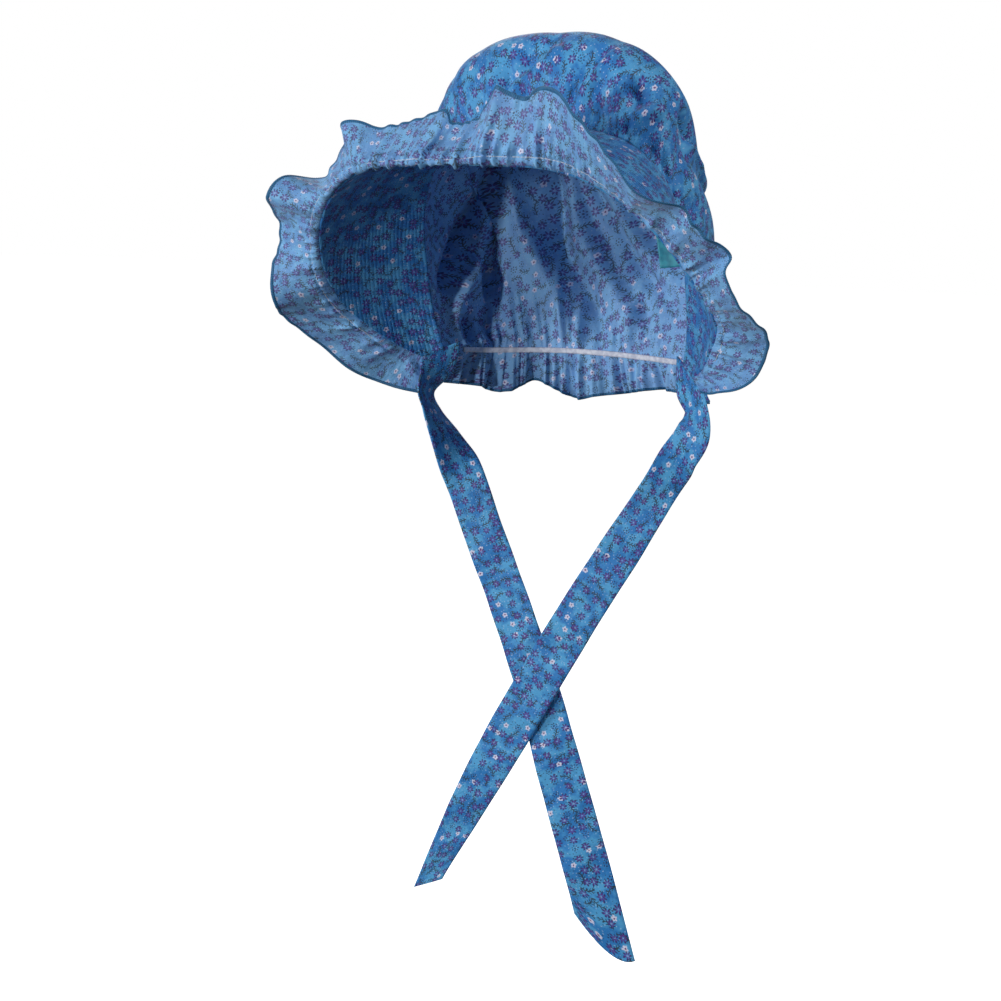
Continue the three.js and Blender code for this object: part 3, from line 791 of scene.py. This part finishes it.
# The all-over print, with sizes in millimetres on the cloth. Sprays are rings of dots, twigs and white
# daisies, and each cell's random value chooses among them
GROUND_DARK = srgb(24, 122, 198)
GROUND_LIGHT = srgb(76, 166, 222)
GROUND_WRONG_SIDE = srgb(148, 194, 242)
PALE_DOT = srgb(176, 208, 236)
DARK_DOT = srgb(8, 34, 92)
RING_BLUE = srgb(8, 30, 84)
TWIG_GREEN = srgb(22, 38, 50)
WHITE_PETAL = srgb(222, 222, 246)
WHITE_DAISY_HEART = srgb(110, 26, 104)
PURPLE_INNER = srgb(92, 32, 146)
PURPLE_OUTER = srgb(32, 10, 100)
PURPLE_EYE = srgb(170, 176, 226)
DOT_CELL = 2.2
PALE_DOTS_BELOW = 0.42
DARK_DOTS_ABOVE = 0.7
SPRAY_CELL = 7.9
RINGS_BELOW = 0.3
WHITE_ABOVE = 0.8
TWIG_BOW = 0.09
TWIG_HALF_LENGTH = 4.3
BRANCH_PITCH = 1.9
BRANCH_HEIGHT = 1.3
DAISY_CELL = 7.7
PURPLE_BELOW = 0.68


def ground(n, cloth, pale):
    """Two blues in soft clouds, mixed with the paler blue of the wrong side."""
    clouds = n.noise(cloth, 0.075, 3.0, 0.6)
    color = n.mix(n.ramp(clouds, 0.4, 0.62), GROUND_DARK, GROUND_LIGHT)
    return n.mix(pale, color, GROUND_WRONG_SIDE)


def tiny_dots(n, drawn, color):
    offset, chosen = n.cells(n.scaled(drawn, 1 / DOT_CELL), 0.9)[:2]
    dot = n.ramp(n.product(n.vector("LENGTH", offset), DOT_CELL), 0.46, 0.22)
    pale_dot = n.product(dot, n.math("LESS_THAN", chosen, PALE_DOTS_BELOW))
    dark_dot = n.product(dot, n.math("GREATER_THAN", chosen, DARK_DOTS_ABOVE))
    color = n.mix(n.product(pale_dot, 0.7), color, PALE_DOT)
    return n.mix(n.product(dark_dot, 0.92), color, DARK_DOT)


def twig(n, x, y):
    """A bowed stem with slanted branches that end in small buds."""
    bend = n.math("SUBTRACT", y, n.product(n.product(x, x), TWIG_BOW))
    side = n.math("SIGN", bend)
    height = n.math("ABSOLUTE", bend)
    within = n.math("LESS_THAN", n.math("ABSOLUTE", x), TWIG_HALF_LENGTH)
    stem = n.product(n.ramp(height, 0.46, 0.2), within)
    staggered = n.math("ADD", x, n.product(side, 0.45))
    slanted = n.math("SUBTRACT", staggered, n.product(height, 0.75))
    part = n.math("FRACT", n.math("DIVIDE", slanted, BRANCH_PITCH))
    off = n.product(n.math("ABSOLUTE", n.math("SUBTRACT", part, 0.5)), BRANCH_PITCH)
    short = n.product(n.math("LESS_THAN", height, BRANCH_HEIGHT), within)
    branch = n.product(n.ramp(off, 0.4, 0.16), short)
    bud_y = n.math("DIVIDE", n.math("SUBTRACT", height, 1.25), 0.5)
    bud_far = n.length(n.math("DIVIDE", off, 0.38), bud_y)
    bud = n.product(n.ramp(bud_far, 1.15, 0.75), within)
    return n.math("MAXIMUM", n.math("MAXIMUM", stem, branch), bud)


def sprays(n, drawn, color):
    """Rings of dots, twigs and small white daisies with five petals."""
    spray_at = n.vector("ADD", n.scaled(drawn, 1 / SPRAY_CELL), (0.37, 0.51, 0.0))
    offset, turn, chosen = n.cells(spray_at, 0.66)[:3]
    offset = n.scaled(offset, SPRAY_CELL)
    inputs = {"Vector": offset, "Angle": n.product(turn, math.tau)}
    turned = n.add("ShaderNodeVectorRotate", inputs, rotation_type="Z_AXIS").outputs[0]
    xy = n.add("ShaderNodeSeparateXYZ", {0: turned}).outputs
    radius = n.vector("LENGTH", offset)
    angle = n.math("ARCTAN2", xy[1], xy[0])

    is_ring = n.math("LESS_THAN", chosen, RINGS_BELOW)
    ring = n.math("MAXIMUM", n.petals(angle, radius, 7, 1.8, 0.46, 0.42), n.ramp(radius, 0.68, 0.36))
    color = n.mix(n.product(n.product(ring, is_ring), 0.95), color, RING_BLUE)

    is_white = n.math("GREATER_THAN", chosen, WHITE_ABOVE)
    is_twig = n.product(n.math("GREATER_THAN", chosen, RINGS_BELOW), n.math("LESS_THAN", chosen, WHITE_ABOVE))
    color = n.mix(n.product(n.product(twig(n, xy[0], xy[1]), is_twig), 0.95), color, TWIG_GREEN)

    white = n.product(n.petals(angle, radius, 5, 1.0, 0.85, 0.68), is_white)
    color = n.mix(n.product(white, 0.95), color, WHITE_PETAL)
    return n.mix(n.product(n.ramp(radius, 0.66, 0.42), is_white), color, WHITE_DAISY_HEART)


def purple_daisies(n, drawn, color):
    """Dark purple daisies with seven petals and a pale eye, in slightly different sizes."""
    offset, turn, chosen, growth = n.cells(n.scaled(drawn, 1 / DAISY_CELL), 0.6)
    offset = n.scaled(offset, DAISY_CELL)
    size = n.math("ADD", n.product(growth, -0.22), 1.12)
    radius = n.product(n.vector("LENGTH", offset), size)
    xy = n.add("ShaderNodeSeparateXYZ", {0: offset}).outputs
    angle = n.math("ADD", n.math("ARCTAN2", xy[1], xy[0]), n.product(turn, math.tau))
    is_purple = n.math("LESS_THAN", chosen, PURPLE_BELOW)
    purple = n.product(n.petals(angle, radius, 7, 1.8, 1.1, 0.54), is_purple)
    petal = n.mix(n.ramp(radius, 0.9, 2.5), PURPLE_INNER, PURPLE_OUTER)
    color = n.mix(n.product(purple, 0.97), color, petal)
    eye = n.product(n.ramp(radius, 0.62, 0.36), is_purple)
    return n.mix(n.product(eye, 0.55), color, PURPLE_EYE)


def print_group():
    """The whole print as one group, drawn with a slight wobble, from the place on the cloth."""
    tree = bpy.data.node_groups.new("floral_print", "ShaderNodeTree")
    tree.interface.new_socket("Cloth", in_out="INPUT", socket_type="NodeSocketVector")
    tree.interface.new_socket("Pale", in_out="INPUT", socket_type="NodeSocketFloat")
    tree.interface.new_socket("Color", in_out="OUTPUT", socket_type="NodeSocketColor")
    n = Nodes(tree)
    cloth, pale = n.add("NodeGroupInput").outputs[:2]
    inputs = {"Vector": cloth, "Scale": 0.45, "Detail": 1.0}
    wobble = n.add("ShaderNodeTexNoise", inputs, noise_dimensions="2D").outputs["Color"]
    drawn = n.vector("ADD", cloth, n.scaled(n.vector("SUBTRACT", wobble, (0.5, 0.5, 0.5)), 1.1))
    color = ground(n, cloth, pale)
    for draw in (tiny_dots, sprays, purple_daisies):
        color = draw(n, drawn, color)
    n.wire(n.add("NodeGroupOutput").inputs[0], color)
    return tree


FLORAL = print_group()
WEAVE_PITCH = 0.55
WEAVE_HEIGHT = 0.012
CREASE_HEIGHT = 0.9
ROW_DRIFT = 1.6
ROW_HEIGHT = 0.05
PUCKER_HEIGHT = 0.4


class Fabric(Nodes):
    """Nodes of one cloth material, with its shader and its place on the flat cloth."""

    def __init__(self, name):
        self.material = bpy.data.materials.new(name)
        self.material.use_nodes = True
        super().__init__(self.material.node_tree)
        self.shader = self.tree.nodes["Principled BSDF"]
        self.cut = self.add("ShaderNodeUVMap", uv_map="cut").outputs[0]

    def finish(self, color, height, strength, distance, finish):
        """Sets the colour, the relief, whose distance is in millimetres, and the finish."""
        bump = self.add("ShaderNodeBump", {"Height": height, "Strength": strength, "Distance": distance * MM})
        self.wire(self.shader.inputs["Base Color"], color)
        self.wire(self.shader.inputs["Normal"], bump.outputs[0])
        for name, value in finish.items():
            self.shader.inputs[name].default_value = value
        return self.material


def stitched_rows(n, pitch):
    """Rounded rows along the brim, and the puckers between their stitches."""
    across = n.add("ShaderNodeSeparateXYZ", {0: n.cut}).outputs[1]
    drift = n.product(n.math("SUBTRACT", n.noise(n.cut, 0.05, 1.0), 0.5), ROW_DRIFT)
    phase = n.math("FRACT", n.math("DIVIDE", n.math("ADD", across, drift), pitch))
    row = n.math("SINE", n.product(phase, math.pi))
    stretched = n.vector("MULTIPLY", n.cut, (0.42, 0.16, 1.0))
    return row, n.noise(stretched, 1.0, 2.0)


def printed_cotton(name, shift=(0, 0), turn=0.0, wrong_side=0.0, rows=0.0, shade=1.0):
    """Printed cotton on the piece's cut. wrong_side pales the print, rows is the pitch of stitched rows, and
    a shade below 1 darkens the whole print towards deep blue as painted shade.
    """
    n = Fabric(name)
    inputs = {"Vector": n.cut, "Location": (*shift, 0), "Rotation": (0, 0, turn)}
    placed = n.add("ShaderNodeMapping", inputs).outputs[0]
    color = n.add("ShaderNodeGroup", node_tree=FLORAL)
    n.wire(color.inputs[0], placed)
    n.wire(color.inputs[1], wrong_side)
    color = color.outputs[0]
    if wrong_side:
        color = n.mix(0.12, color, srgb(168, 198, 236))
    threads = n.noise(placed, 2.2, 1.0, 0.5)
    color = n.mix(n.ramp(threads, 0.3, 0.7, 0.0, 0.1), color, srgb(150, 190, 226))
    # Painted shade: the whole print darkened towards deep blue, a shaded copy of the same cotton
    if shade != 1.0:
        color = n.mix(1 - shade, color, srgb(8, 52, 128))

    # Weave, fine creases and, on the brim, the puckered rows, with painted shade along their grooves
    xy = n.add("ShaderNodeSeparateXYZ", {0: placed}).outputs
    warp = n.math("SINE", n.product(xy[0], math.tau / WEAVE_PITCH))
    weft = n.math("SINE", n.product(xy[1], math.tau / WEAVE_PITCH))
    weave = n.product(n.math("ADD", warp, weft), WEAVE_HEIGHT)
    crease = n.product(n.noise(n.cut, 0.16, 3.0, 0.55), CREASE_HEIGHT)
    height = n.math("ADD", weave, crease)
    if rows:
        row, pucker = stitched_rows(n, rows)
        height = n.math("ADD", height, n.product(row, ROW_HEIGHT))
        height = n.math("ADD", height, n.product(n.product(pucker, row), PUCKER_HEIGHT))
        # Painted shade: a thin darker line along the grooves between the stitched rows, where the relief dips
        color = n.mix(n.ramp(row, 0.3, 0.05, 0.0, 0.06), color, srgb(14, 56, 120))
    finish = {"Roughness": 0.6, "Specular IOR Level": 0.35, "Sheen Weight": 0.12, "Sheen Roughness": 0.5}
    return n.finish(color, height, 1.0, 1.0, finish)


def thread_material(name, dark, light, pitch):
    """Twisted thread laid close together, striped across its run: the dark stripes are painted shade in the
    dips between the turns, paler on the turns themselves, over a random mottle.
    """
    n = Fabric(name)
    xy = n.add("ShaderNodeSeparateXYZ", {0: n.cut}).outputs
    slant = n.math("ADD", xy[0], n.product(xy[1], 0.35))
    wave = n.math("SINE", n.product(slant, math.tau / pitch))
    # Painted shade: darker where the relief dips between the thread's turns, paler on the turns
    painted_twist_shade = n.ramp(wave, -0.9, 0.7)
    blot = n.noise(n.cut, 0.2, 2.0)
    factor = n.math("ADD", n.product(painted_twist_shade, 0.6), n.product(blot, 0.5), clamp=True)
    finish = {"Roughness": 0.55, "Sheen Weight": 0.1}
    return n.finish(n.mix(factor, dark, light), wave, 0.8, 0.12, finish)


def tape_material(name, dark, light):
    """Plain woven tape with a fine rib."""
    n = Fabric(name)
    along = n.add("ShaderNodeSeparateXYZ", {0: n.cut}).outputs[0]
    rib = n.math("SINE", n.product(along, math.tau / 0.6))
    cloud = n.noise(n.cut, 0.3, 3.0)
    color = n.mix(n.ramp(cloud, 0.3, 0.7), dark, light)
    return n.finish(color, rib, 0.6, 0.05, {"Roughness": 0.42, "Sheen Weight": 0.2})


# The crown's and the brim's prints carry painted shade over their whole cloth; the ruffle and the ties don't
crown_print = printed_cotton("crown_print", (3, 8), 0.4, shade=0.92)
crown_wrong = printed_cotton("crown_wrong_side", (3, 8), 0.4, wrong_side=0.52)
brim_print = printed_cotton("brim_print", (40, 12), 0.2, rows=2.5, shade=0.8)
ruffle_right = printed_cotton("ruffle_right_side", (9, 31), 0.1)
ruffle_wrong = printed_cotton("ruffle_inner_side", (9, 31), 0.1, wrong_side=0.34)
tie_print = printed_cotton("tie_print", (60, 7), 0.0)
overlock_thread = thread_material("overlock_thread", srgb(14, 72, 114), srgb(34, 116, 166), 1.2)
white_thread = thread_material("white_thread", srgb(176, 190, 214), srgb(222, 230, 242), 0.7)
elastic_weave = tape_material("elastic_weave", srgb(184, 190, 212), srgb(220, 224, 238))
label_tape = tape_material("label_tape", srgb(18, 126, 150), srgb(40, 156, 174))


def finish_piece(piece, slot, node=None, *materials):
    for material in materials:
        piece.data.materials.append(material)
    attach(piece, "root")
    if node:
        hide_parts(node)
    return piece


# Crown and neck frill. The coarse grid is what is laid flat to find the cut
CROWN_GRID_COLUMNS = 340
BAG_ROWS = 112
FRILL_ROWS = 22
COARSE_AT = np.linspace(-1, 1, 41)
COARSE_DOWN = np.concatenate([np.linspace(0, 1, 19), np.linspace(1.25, 2, 4)])


def crown_down(share):
    row = share * (BAG_ROWS + FRILL_ROWS)
    return np.where(row <= BAG_ROWS, row / BAG_ROWS, 1 + (row - BAG_ROWS) / FRILL_ROWS)


def crown_cut(at, down, place):
    """Place on the flat cloth, from a coarse grid laid flat."""
    grid_at, grid_down = np.meshgrid(COARSE_AT, COARSE_DOWN)
    fall = np.maximum(grid_down - 1, 0)
    hem = read(HEM_COLUMNS, HEM_ROWS, "drop", grid_at) * fall
    smooth_bag = crown_bag(grid_at, np.minimum(grid_down, 1)) + vec(0 * hem, FRILL_FLARE * fall, -hem)
    flat = flattened(smooth_bag)
    result = []
    for k in range(2):
        by_row = [np.interp(down[:, 0], COARSE_DOWN, flat[:, j, k]) for j in range(len(COARSE_AT))]
        by_row = np.stack(by_row, axis=1)
        result.append(np.stack([np.interp(at[i], COARSE_AT, by_row[i]) for i in range(at.shape[0])]))
    return result


crown, crown_place = grid_cloth(
    "crown_cloth", CROWN_GRID_COLUMNS, BAG_ROWS + FRILL_ROWS, crown_surface, crown_cut, crown_down
)
solidify(crown, CROWN_THICKNESS, 1)
finish_piece(crown, "crown_cloth", "crown", crown_print, crown_wrong)


# Brim, which reaches into both seams
BRIM_SEAM_TURN = 1.2


def sewn_brim(at, share):
    depth = read(BRIM_COLUMNS, BRIM_ROWS, "depth", at)
    return brim_surface(at, (share * (depth + 2 * BRIM_SEAM_TURN) - BRIM_SEAM_TURN) / depth)


def brim_cut(at, reach, place):
    middle = run_along(place, place.shape[0] // 2)
    depth = read(BRIM_COLUMNS, BRIM_ROWS, "depth", at)
    return np.broadcast_to(middle, at.shape), depth * reach


brim = grid_cloth("brim_cloth", 260, 64, sewn_brim, brim_cut, faces_out=False)[0]
solidify(brim, BRIM_THICKNESS)
finish_piece(brim, "brim_cloth", "brim", brim_print)


# Ruffle, whose rows lie closer together near its seam
RUFFLE_ROW_SPREAD = 1.15


def ruffle_reach(share):
    return share**RUFFLE_ROW_SPREAD


def ruffle_cut(at, reach, place):
    edge = run_along(place, -1)
    length = read(RUFFLE_COLUMNS, RUFFLE_ROWS, "reach", at)
    return np.broadcast_to(edge, at.shape), length * reach


ruffle, ruffle_place = grid_cloth("ruffle_cloth", 1200, 32, ruffle_cloth, ruffle_cut, ruffle_reach)
solidify(ruffle, RUFFLE_THICKNESS, 1)
finish_piece(ruffle, "ruffle_cloth", "brim_ruffle", ruffle_wrong, ruffle_right)


# Thread: overlocked edges, and the row of white stitches at the foot of the ruffle, on its inner side
OVERLOCK_PITCH = 1.3
OVERLOCK_THICKNESS = 1.0
OVERLOCK_OVERHANG = 0.4
RUFFLE_OVERLOCK_WIDTH = 2.5
FRILL_OVERLOCK_WIDTH = 2.2
THREAD_RADIUS = 0.3
THREAD_STITCH = 2.6
THREAD_SINK = 0.35
THREAD_PROUD = 0.1
THREAD_REACH = 0.93
THREAD_COLUMNS = 1800


def resampled(values, length, columns):
    """Values along a line, taken again at equal steps of its length."""
    want = np.linspace(0, length[-1], columns + 1)
    return np.stack([np.interp(want, length, values[:, k]) for k in range(3)], axis=-1)


def closed_bead(name, columns, around, surface, cut, merge):
    """A grid carried round on itself: its seam is merged and its ends are filled."""
    piece = grid_cloth(name, columns, around, surface, cut)[0]
    bm = bmesh.new()
    bm.from_mesh(piece.data)
    bmesh.ops.remove_doubles(bm, verts=bm.verts[:], dist=merge * MM)
    bmesh.ops.holes_fill(bm, edges=[e for e in bm.edges if e.is_boundary], sides=0)
    bmesh.ops.recalc_face_normals(bm, faces=bm.faces[:])
    bm.to_mesh(piece.data)
    bm.free()
    piece.data.shade_smooth()
    return piece


def column_number(at, columns):
    return np.clip(np.round((at + 1) / 2 * columns).astype(int), 0, columns)


def overlock(name, place, columns, width):
    """Thread bound over a raw edge: a flat bead whose stitches stand a little proud."""
    length = run_along(place, -1)
    inward = unit(place[-3] - place[-1])
    normal = unit(np.cross(unit(np.gradient(place[-1], axis=0)), inward))
    edge = resampled(place[-1], length, columns)
    inward = unit(resampled(inward, length, columns))
    normal = unit(resampled(normal, length, columns))
    far = np.linspace(0, length[-1], columns + 1)

    def bead(at, share):
        i = column_number(at, columns)
        angle = share * math.tau
        stitch = 0.5 + 0.5 * np.cos(far[i] * math.tau / OVERLOCK_PITCH)
        half = width / 2 * (1 + 0.1 * stitch * (np.cos(angle) > 0))
        thick = OVERLOCK_THICKNESS / 2 * (0.8 + 0.35 * stitch)
        middle = edge[i] + inward[i] * (width / 2 - OVERLOCK_OVERHANG)
        return middle + times(inward[i], half * np.cos(angle)) + times(normal[i], thick * np.sin(angle))

    def cut(at, share, place):
        return (at + 1) / 2 * length[-1], share * width * 2.4

    return closed_bead(name, columns, 10, bead, cut, 0.01)


def thread_tube(name, line, normal, columns):
    """A row of machine stitches: a thin thread that dips into the cloth at every needle hole."""
    length = run_along(line[None], 0)
    line = resampled(line, length, columns)
    normal = unit(resampled(normal, length, columns))
    side = unit(np.cross(unit(np.gradient(line, axis=0)), normal))
    far = np.linspace(0, length[-1], columns + 1)

    def tube(at, share):
        i = column_number(at, columns)
        angle = share * math.tau
        arch = np.abs(np.sin(far[i] * math.pi / THREAD_STITCH)) ** 0.5
        middle = line[i] + times(normal[i], THREAD_RADIUS * (arch * (1 + THREAD_SINK) - THREAD_SINK))
        size = THREAD_RADIUS * (0.55 + 0.45 * arch)
        return middle + times(normal[i], size * np.sin(angle)) + times(side[i], size * np.cos(angle))

    def cut(at, share, place):
        return (at + 1) / 2 * length[-1], share * THREAD_RADIUS * 6

    return closed_bead(name, columns, 6, tube, cut, 0.005)


ruffle_edge = overlock("ruffle_overlock", ruffle_place, 2400, RUFFLE_OVERLOCK_WIDTH)
finish_piece(ruffle_edge, "ruffle_cloth", None, overlock_thread)
frill_edge = overlock("frill_overlock", crown_place, 1400, FRILL_OVERLOCK_WIDTH)
finish_piece(frill_edge, "crown_cloth", None, overlock_thread)

thread_at = np.linspace(-THREAD_REACH, THREAD_REACH, THREAD_COLUMNS + 1)
thread_reach = HEADING_DEPTH / read(RUFFLE_COLUMNS, RUFFLE_ROWS, "reach", thread_at)
thread_normal = surface_normal(ruffle_surface, thread_at, thread_reach)
thread_line = ruffle_cloth(thread_at, thread_reach) + thread_normal * (RUFFLE_THICKNESS / 2 + THREAD_PROUD)
gather_thread = thread_tube("gather_thread", thread_line, thread_normal, THREAD_COLUMNS)
finish_piece(gather_thread, "ruffle_cloth", None, white_thread)


# Elastic: a narrow band along the inside of the nape, which sways a little between the gathers
def elastic_surface(at, fall):
    inward = CROWN_WALL_HALF + SEAM_GAP + ELASTIC_THICKNESS / 2
    reach = at * ELASTIC_REACH
    point, out = nape_frame(reach)
    ripple = 0.35 * np.sin(reach * 61) + 0.25 * np.sin(reach * 37 + 1)
    sway = ELASTIC_SWAY * np.cos(reach * 5.2 + 0.6) - ELASTIC_SWAY
    rise = ELASTIC_HEIGHT * (0.5 - fall) + sway
    return point - times(out, inward + ripple * ELASTIC_RIPPLE) + vec(0 * at, 0 * at, rise)


def elastic_cut(at, fall, place):
    return np.broadcast_to(run_along(place, 0), at.shape), ELASTIC_HEIGHT * fall


elastic = grid_cloth("elastic_band", 320, 4, elastic_surface, elastic_cut)[0]
solidify(elastic, ELASTIC_THICKNESS)
finish_piece(elastic, "elastic_cord", "neck_elastic", elastic_weave)


# Ties
def tie_surface(rows, side, point, rounding):
    """Surface of one strap, -1 to 1 across and 0 to 1 down, and its length."""
    corner = np.array([float(side)])
    seat = {name: value[0] for name, value in brim_frame(corner).items()}
    top = brim_surface(corner, np.array([TIE_SEAT_SHARE]))[0] + seat["along"] * side * SEAM_GAP
    end = rows[-1][0]

    def middle(drop):
        across = read(TIE_COLUMNS, rows, "across", drop)
        forward = read(TIE_COLUMNS, rows, "forward", drop)
        return vec(top[0] - side * across, top[1] - forward, top[2] - drop)

    def strap(at, share):
        drop = end * share - TIE_TUCK * np.maximum(0, 1 - TIE_TUCK_PARTS * share)
        step = 2
        along = unit(middle(np.clip(drop + step, step, end)) - middle(np.maximum(drop - step, 0)))
        heading = np.radians(read(TIE_COLUMNS, rows, "heading", drop))
        width = vec(np.cos(heading), -side * np.sin(heading), 0 * heading)
        sewn = np.clip(1 - drop / TIE_SEWN_DROP, 0, 1)
        width = width + times(seat["ahead"] * side - width, sewn)
        lengthwise = np.sum(width * along, axis=-1)
        width = unit(width - times(along, lengthwise * (1 - sewn)))
        slant = at * point + (1 - at * at) * rounding
        slant = slant * np.maximum(0, 1 - (1 - share) * TIE_SLANT_PARTS)
        half = at * read(TIE_COLUMNS, rows, "width", drop) / 2
        return middle(drop) + times(width, half) + times(along, slant)

    return strap, end


def tie_piece(name, rows, side, end_cut, node, phase):
    """A strap with faint ripples down its length, flat where it is sewn on."""
    strap, end = tie_surface(rows, side, *end_cut)

    def creased(at, share):
        normal = surface_normal(strap, at, share)
        ripple = 0.5 * np.sin(share * 26 + phase) * np.cos(at * 1.3 + share * 9)
        ripple = ripple + 0.35 * np.sin(share * 71 + at * 2 + phase)
        return strap(at, share) + times(normal, ripple * smooth(0.02, 0.12, share))

    def cut(at, share, place):
        return at * TIE_CUT_HALF_WIDTH, -share * end * TIE_CUT_FULLNESS

    piece = grid_cloth(name, 14, 420, creased, cut)[0]
    solidify(piece, TIE_THICKNESS)
    return finish_piece(piece, "tie_cloth", node, tie_print)


left_tie = tie_piece("left_tie_cloth", LEFT_TIE_ROWS, -1, LEFT_TIE_END, "tie_left", 0.4)
right_tie = tie_piece("right_tie_cloth", RIGHT_TIE_ROWS, 1, RIGHT_TIE_END, "tie_right", 2.1)


# Label: a plain folded tab
def label_surface(at, reach):
    point, along, out, back = [part[0] for part in arch_frame(np.array([LABEL_AT]))]
    lie = unit(-out - back * LABEL_TIP_FORWARD)
    lift = np.cross(along, lie)
    curl = LABEL_CURL * np.sin(reach * math.pi) * np.cos(at * 1.4)
    place = point - out * LABEL_BELOW_SEAM + 0 * at[..., None]
    for way, far in ((along, at * LABEL_LENGTH / 2), (lie, reach * LABEL_REACH), (lift, curl)):
        place = place + times(np.broadcast_to(way, place.shape), far)
    return place


def label_cut(at, reach, place):
    return at * LABEL_LENGTH / 2, reach * LABEL_REACH


label = grid_cloth("label_tape", 20, 14, label_surface, label_cut)[0]
solidify(label, LABEL_THICKNESS)
finish_piece(label, "label_tape", "label_tab", label_tape)

# Floor, in metres: pale, and kept out of the light that the cloth gathers
FLOOR_HEIGHT = -0.6
FLOOR_HALF_WIDTH = 30
FLOOR_GLOW = 0.92


def plain_material(name, color, glow):
    material = bpy.data.materials.new(name)
    material.use_nodes = True
    shader = material.node_tree.nodes["Principled BSDF"]
    shader.inputs["Base Color"].default_value = color
    shader.inputs["Roughness"].default_value = 0.9
    shader.inputs["Emission Color"].default_value = (1, 1, 1, 1)
    shader.inputs["Emission Strength"].default_value = glow
    return material


floor_place = Matrix.Translation((0, 0, FLOOR_HEIGHT))
bm = bmesh.new()
bmesh.ops.create_grid(bm, x_segments=1, y_segments=1, size=FLOOR_HALF_WIDTH, matrix=floor_place)
floor = cloth_object("floor", bm)
floor.data.materials.append(plain_material("pale_floor", (0.9, 0.9, 0.9, 1), FLOOR_GLOW))
floor.visible_diffuse = False
floor.visible_glossy = False

# Camera, in metres. Azimuth is round from straight in front, towards the wearer's left
CAMERA_AZIMUTH = math.radians(32)
CAMERA_ELEVATION = math.radians(8.5)
CAMERA_ROLL = math.radians(2)
CAMERA_DISTANCE = 1.073
CAMERA_LENS = 60.3
CAMERA_TARGET = Vector((-0.02273, -0.01420, -0.229))

backward = Vector((
    math.sin(CAMERA_AZIMUTH) * math.cos(CAMERA_ELEVATION),
    -math.cos(CAMERA_AZIMUTH) * math.cos(CAMERA_ELEVATION),
    math.sin(CAMERA_ELEVATION),
))
level = Vector((math.cos(CAMERA_AZIMUTH), math.sin(CAMERA_AZIMUTH), 0))
upward = backward.cross(level)
right = level * math.cos(CAMERA_ROLL) + upward * math.sin(CAMERA_ROLL)
upward = backward.cross(right)

camera_data = bpy.data.cameras.new("camera")
camera_data.lens = CAMERA_LENS
camera_data.sensor_width = 36
camera_data.clip_start = 0.05
camera_data.clip_end = 100
camera = bpy.data.objects.new("camera", camera_data)
bpy.context.scene.collection.objects.link(camera)
place = CAMERA_TARGET + backward * CAMERA_DISTANCE
camera.matrix_world = Matrix((
    (right.x, upward.x, backward.x, place.x),
    (right.y, upward.y, backward.y, place.y),
    (right.z, upward.z, backward.z, place.z),
    (0, 0, 0, 1),
))
bpy.context.scene.camera = camera


# Lights: turn is in degrees round from the camera, rise in degrees up, size in metres and power in watts
LIGHT_AIM = Vector((0, 0, -0.12))
LIGHT_DISTANCE = 1.7
LIGHTS = [
    ("side_light", -72, 6, 0.35, 13),
    ("front_light", -44, -1, 0.16, 9.5),
    ("top_light", 15, 60, 0.5, 3.5),
    ("back_light", 190, 30, 0.8, 7),
    ("right_light", 52, 30, 0.5, 11),
]


def soft_light(name, turn, rise, size, power):
    """A square soft light that faces the bonnet."""
    data = bpy.data.lights.new(name, "AREA")
    data.shape = "SQUARE"
    data.size = size
    data.energy = power
    lamp = bpy.data.objects.new(name, data)
    bpy.context.scene.collection.objects.link(lamp)
    heading = CAMERA_AZIMUTH + math.radians(turn)
    tilt = math.radians(rise)
    way = Vector((math.sin(heading) * math.cos(tilt), -math.cos(heading) * math.cos(tilt), math.sin(tilt)))
    facing = way.to_track_quat("Z", "Y").to_matrix().to_4x4()
    lamp.matrix_world = Matrix.Translation(LIGHT_AIM + way * LIGHT_DISTANCE) @ facing


for light in LIGHTS:
    soft_light(*light)

# World: white to the camera, and a weak fill light to the cloth
WORLD_FILL = 0.11
world = bpy.data.worlds.new("studio")
bpy.context.scene.world = world
world.use_nodes = True
w = Nodes(world.node_tree)
background = world.node_tree.nodes["Background"]
ray = w.add("ShaderNodeLightPath").outputs["Is Camera Ray"]
background.inputs["Color"].default_value = (1, 1, 1, 1)
w.wire(background.inputs["Strength"], w.ramp(ray, 0.0, 1.0, WORLD_FILL, 1.0))
bpy.context.scene.view_settings.view_transform = "Standard"
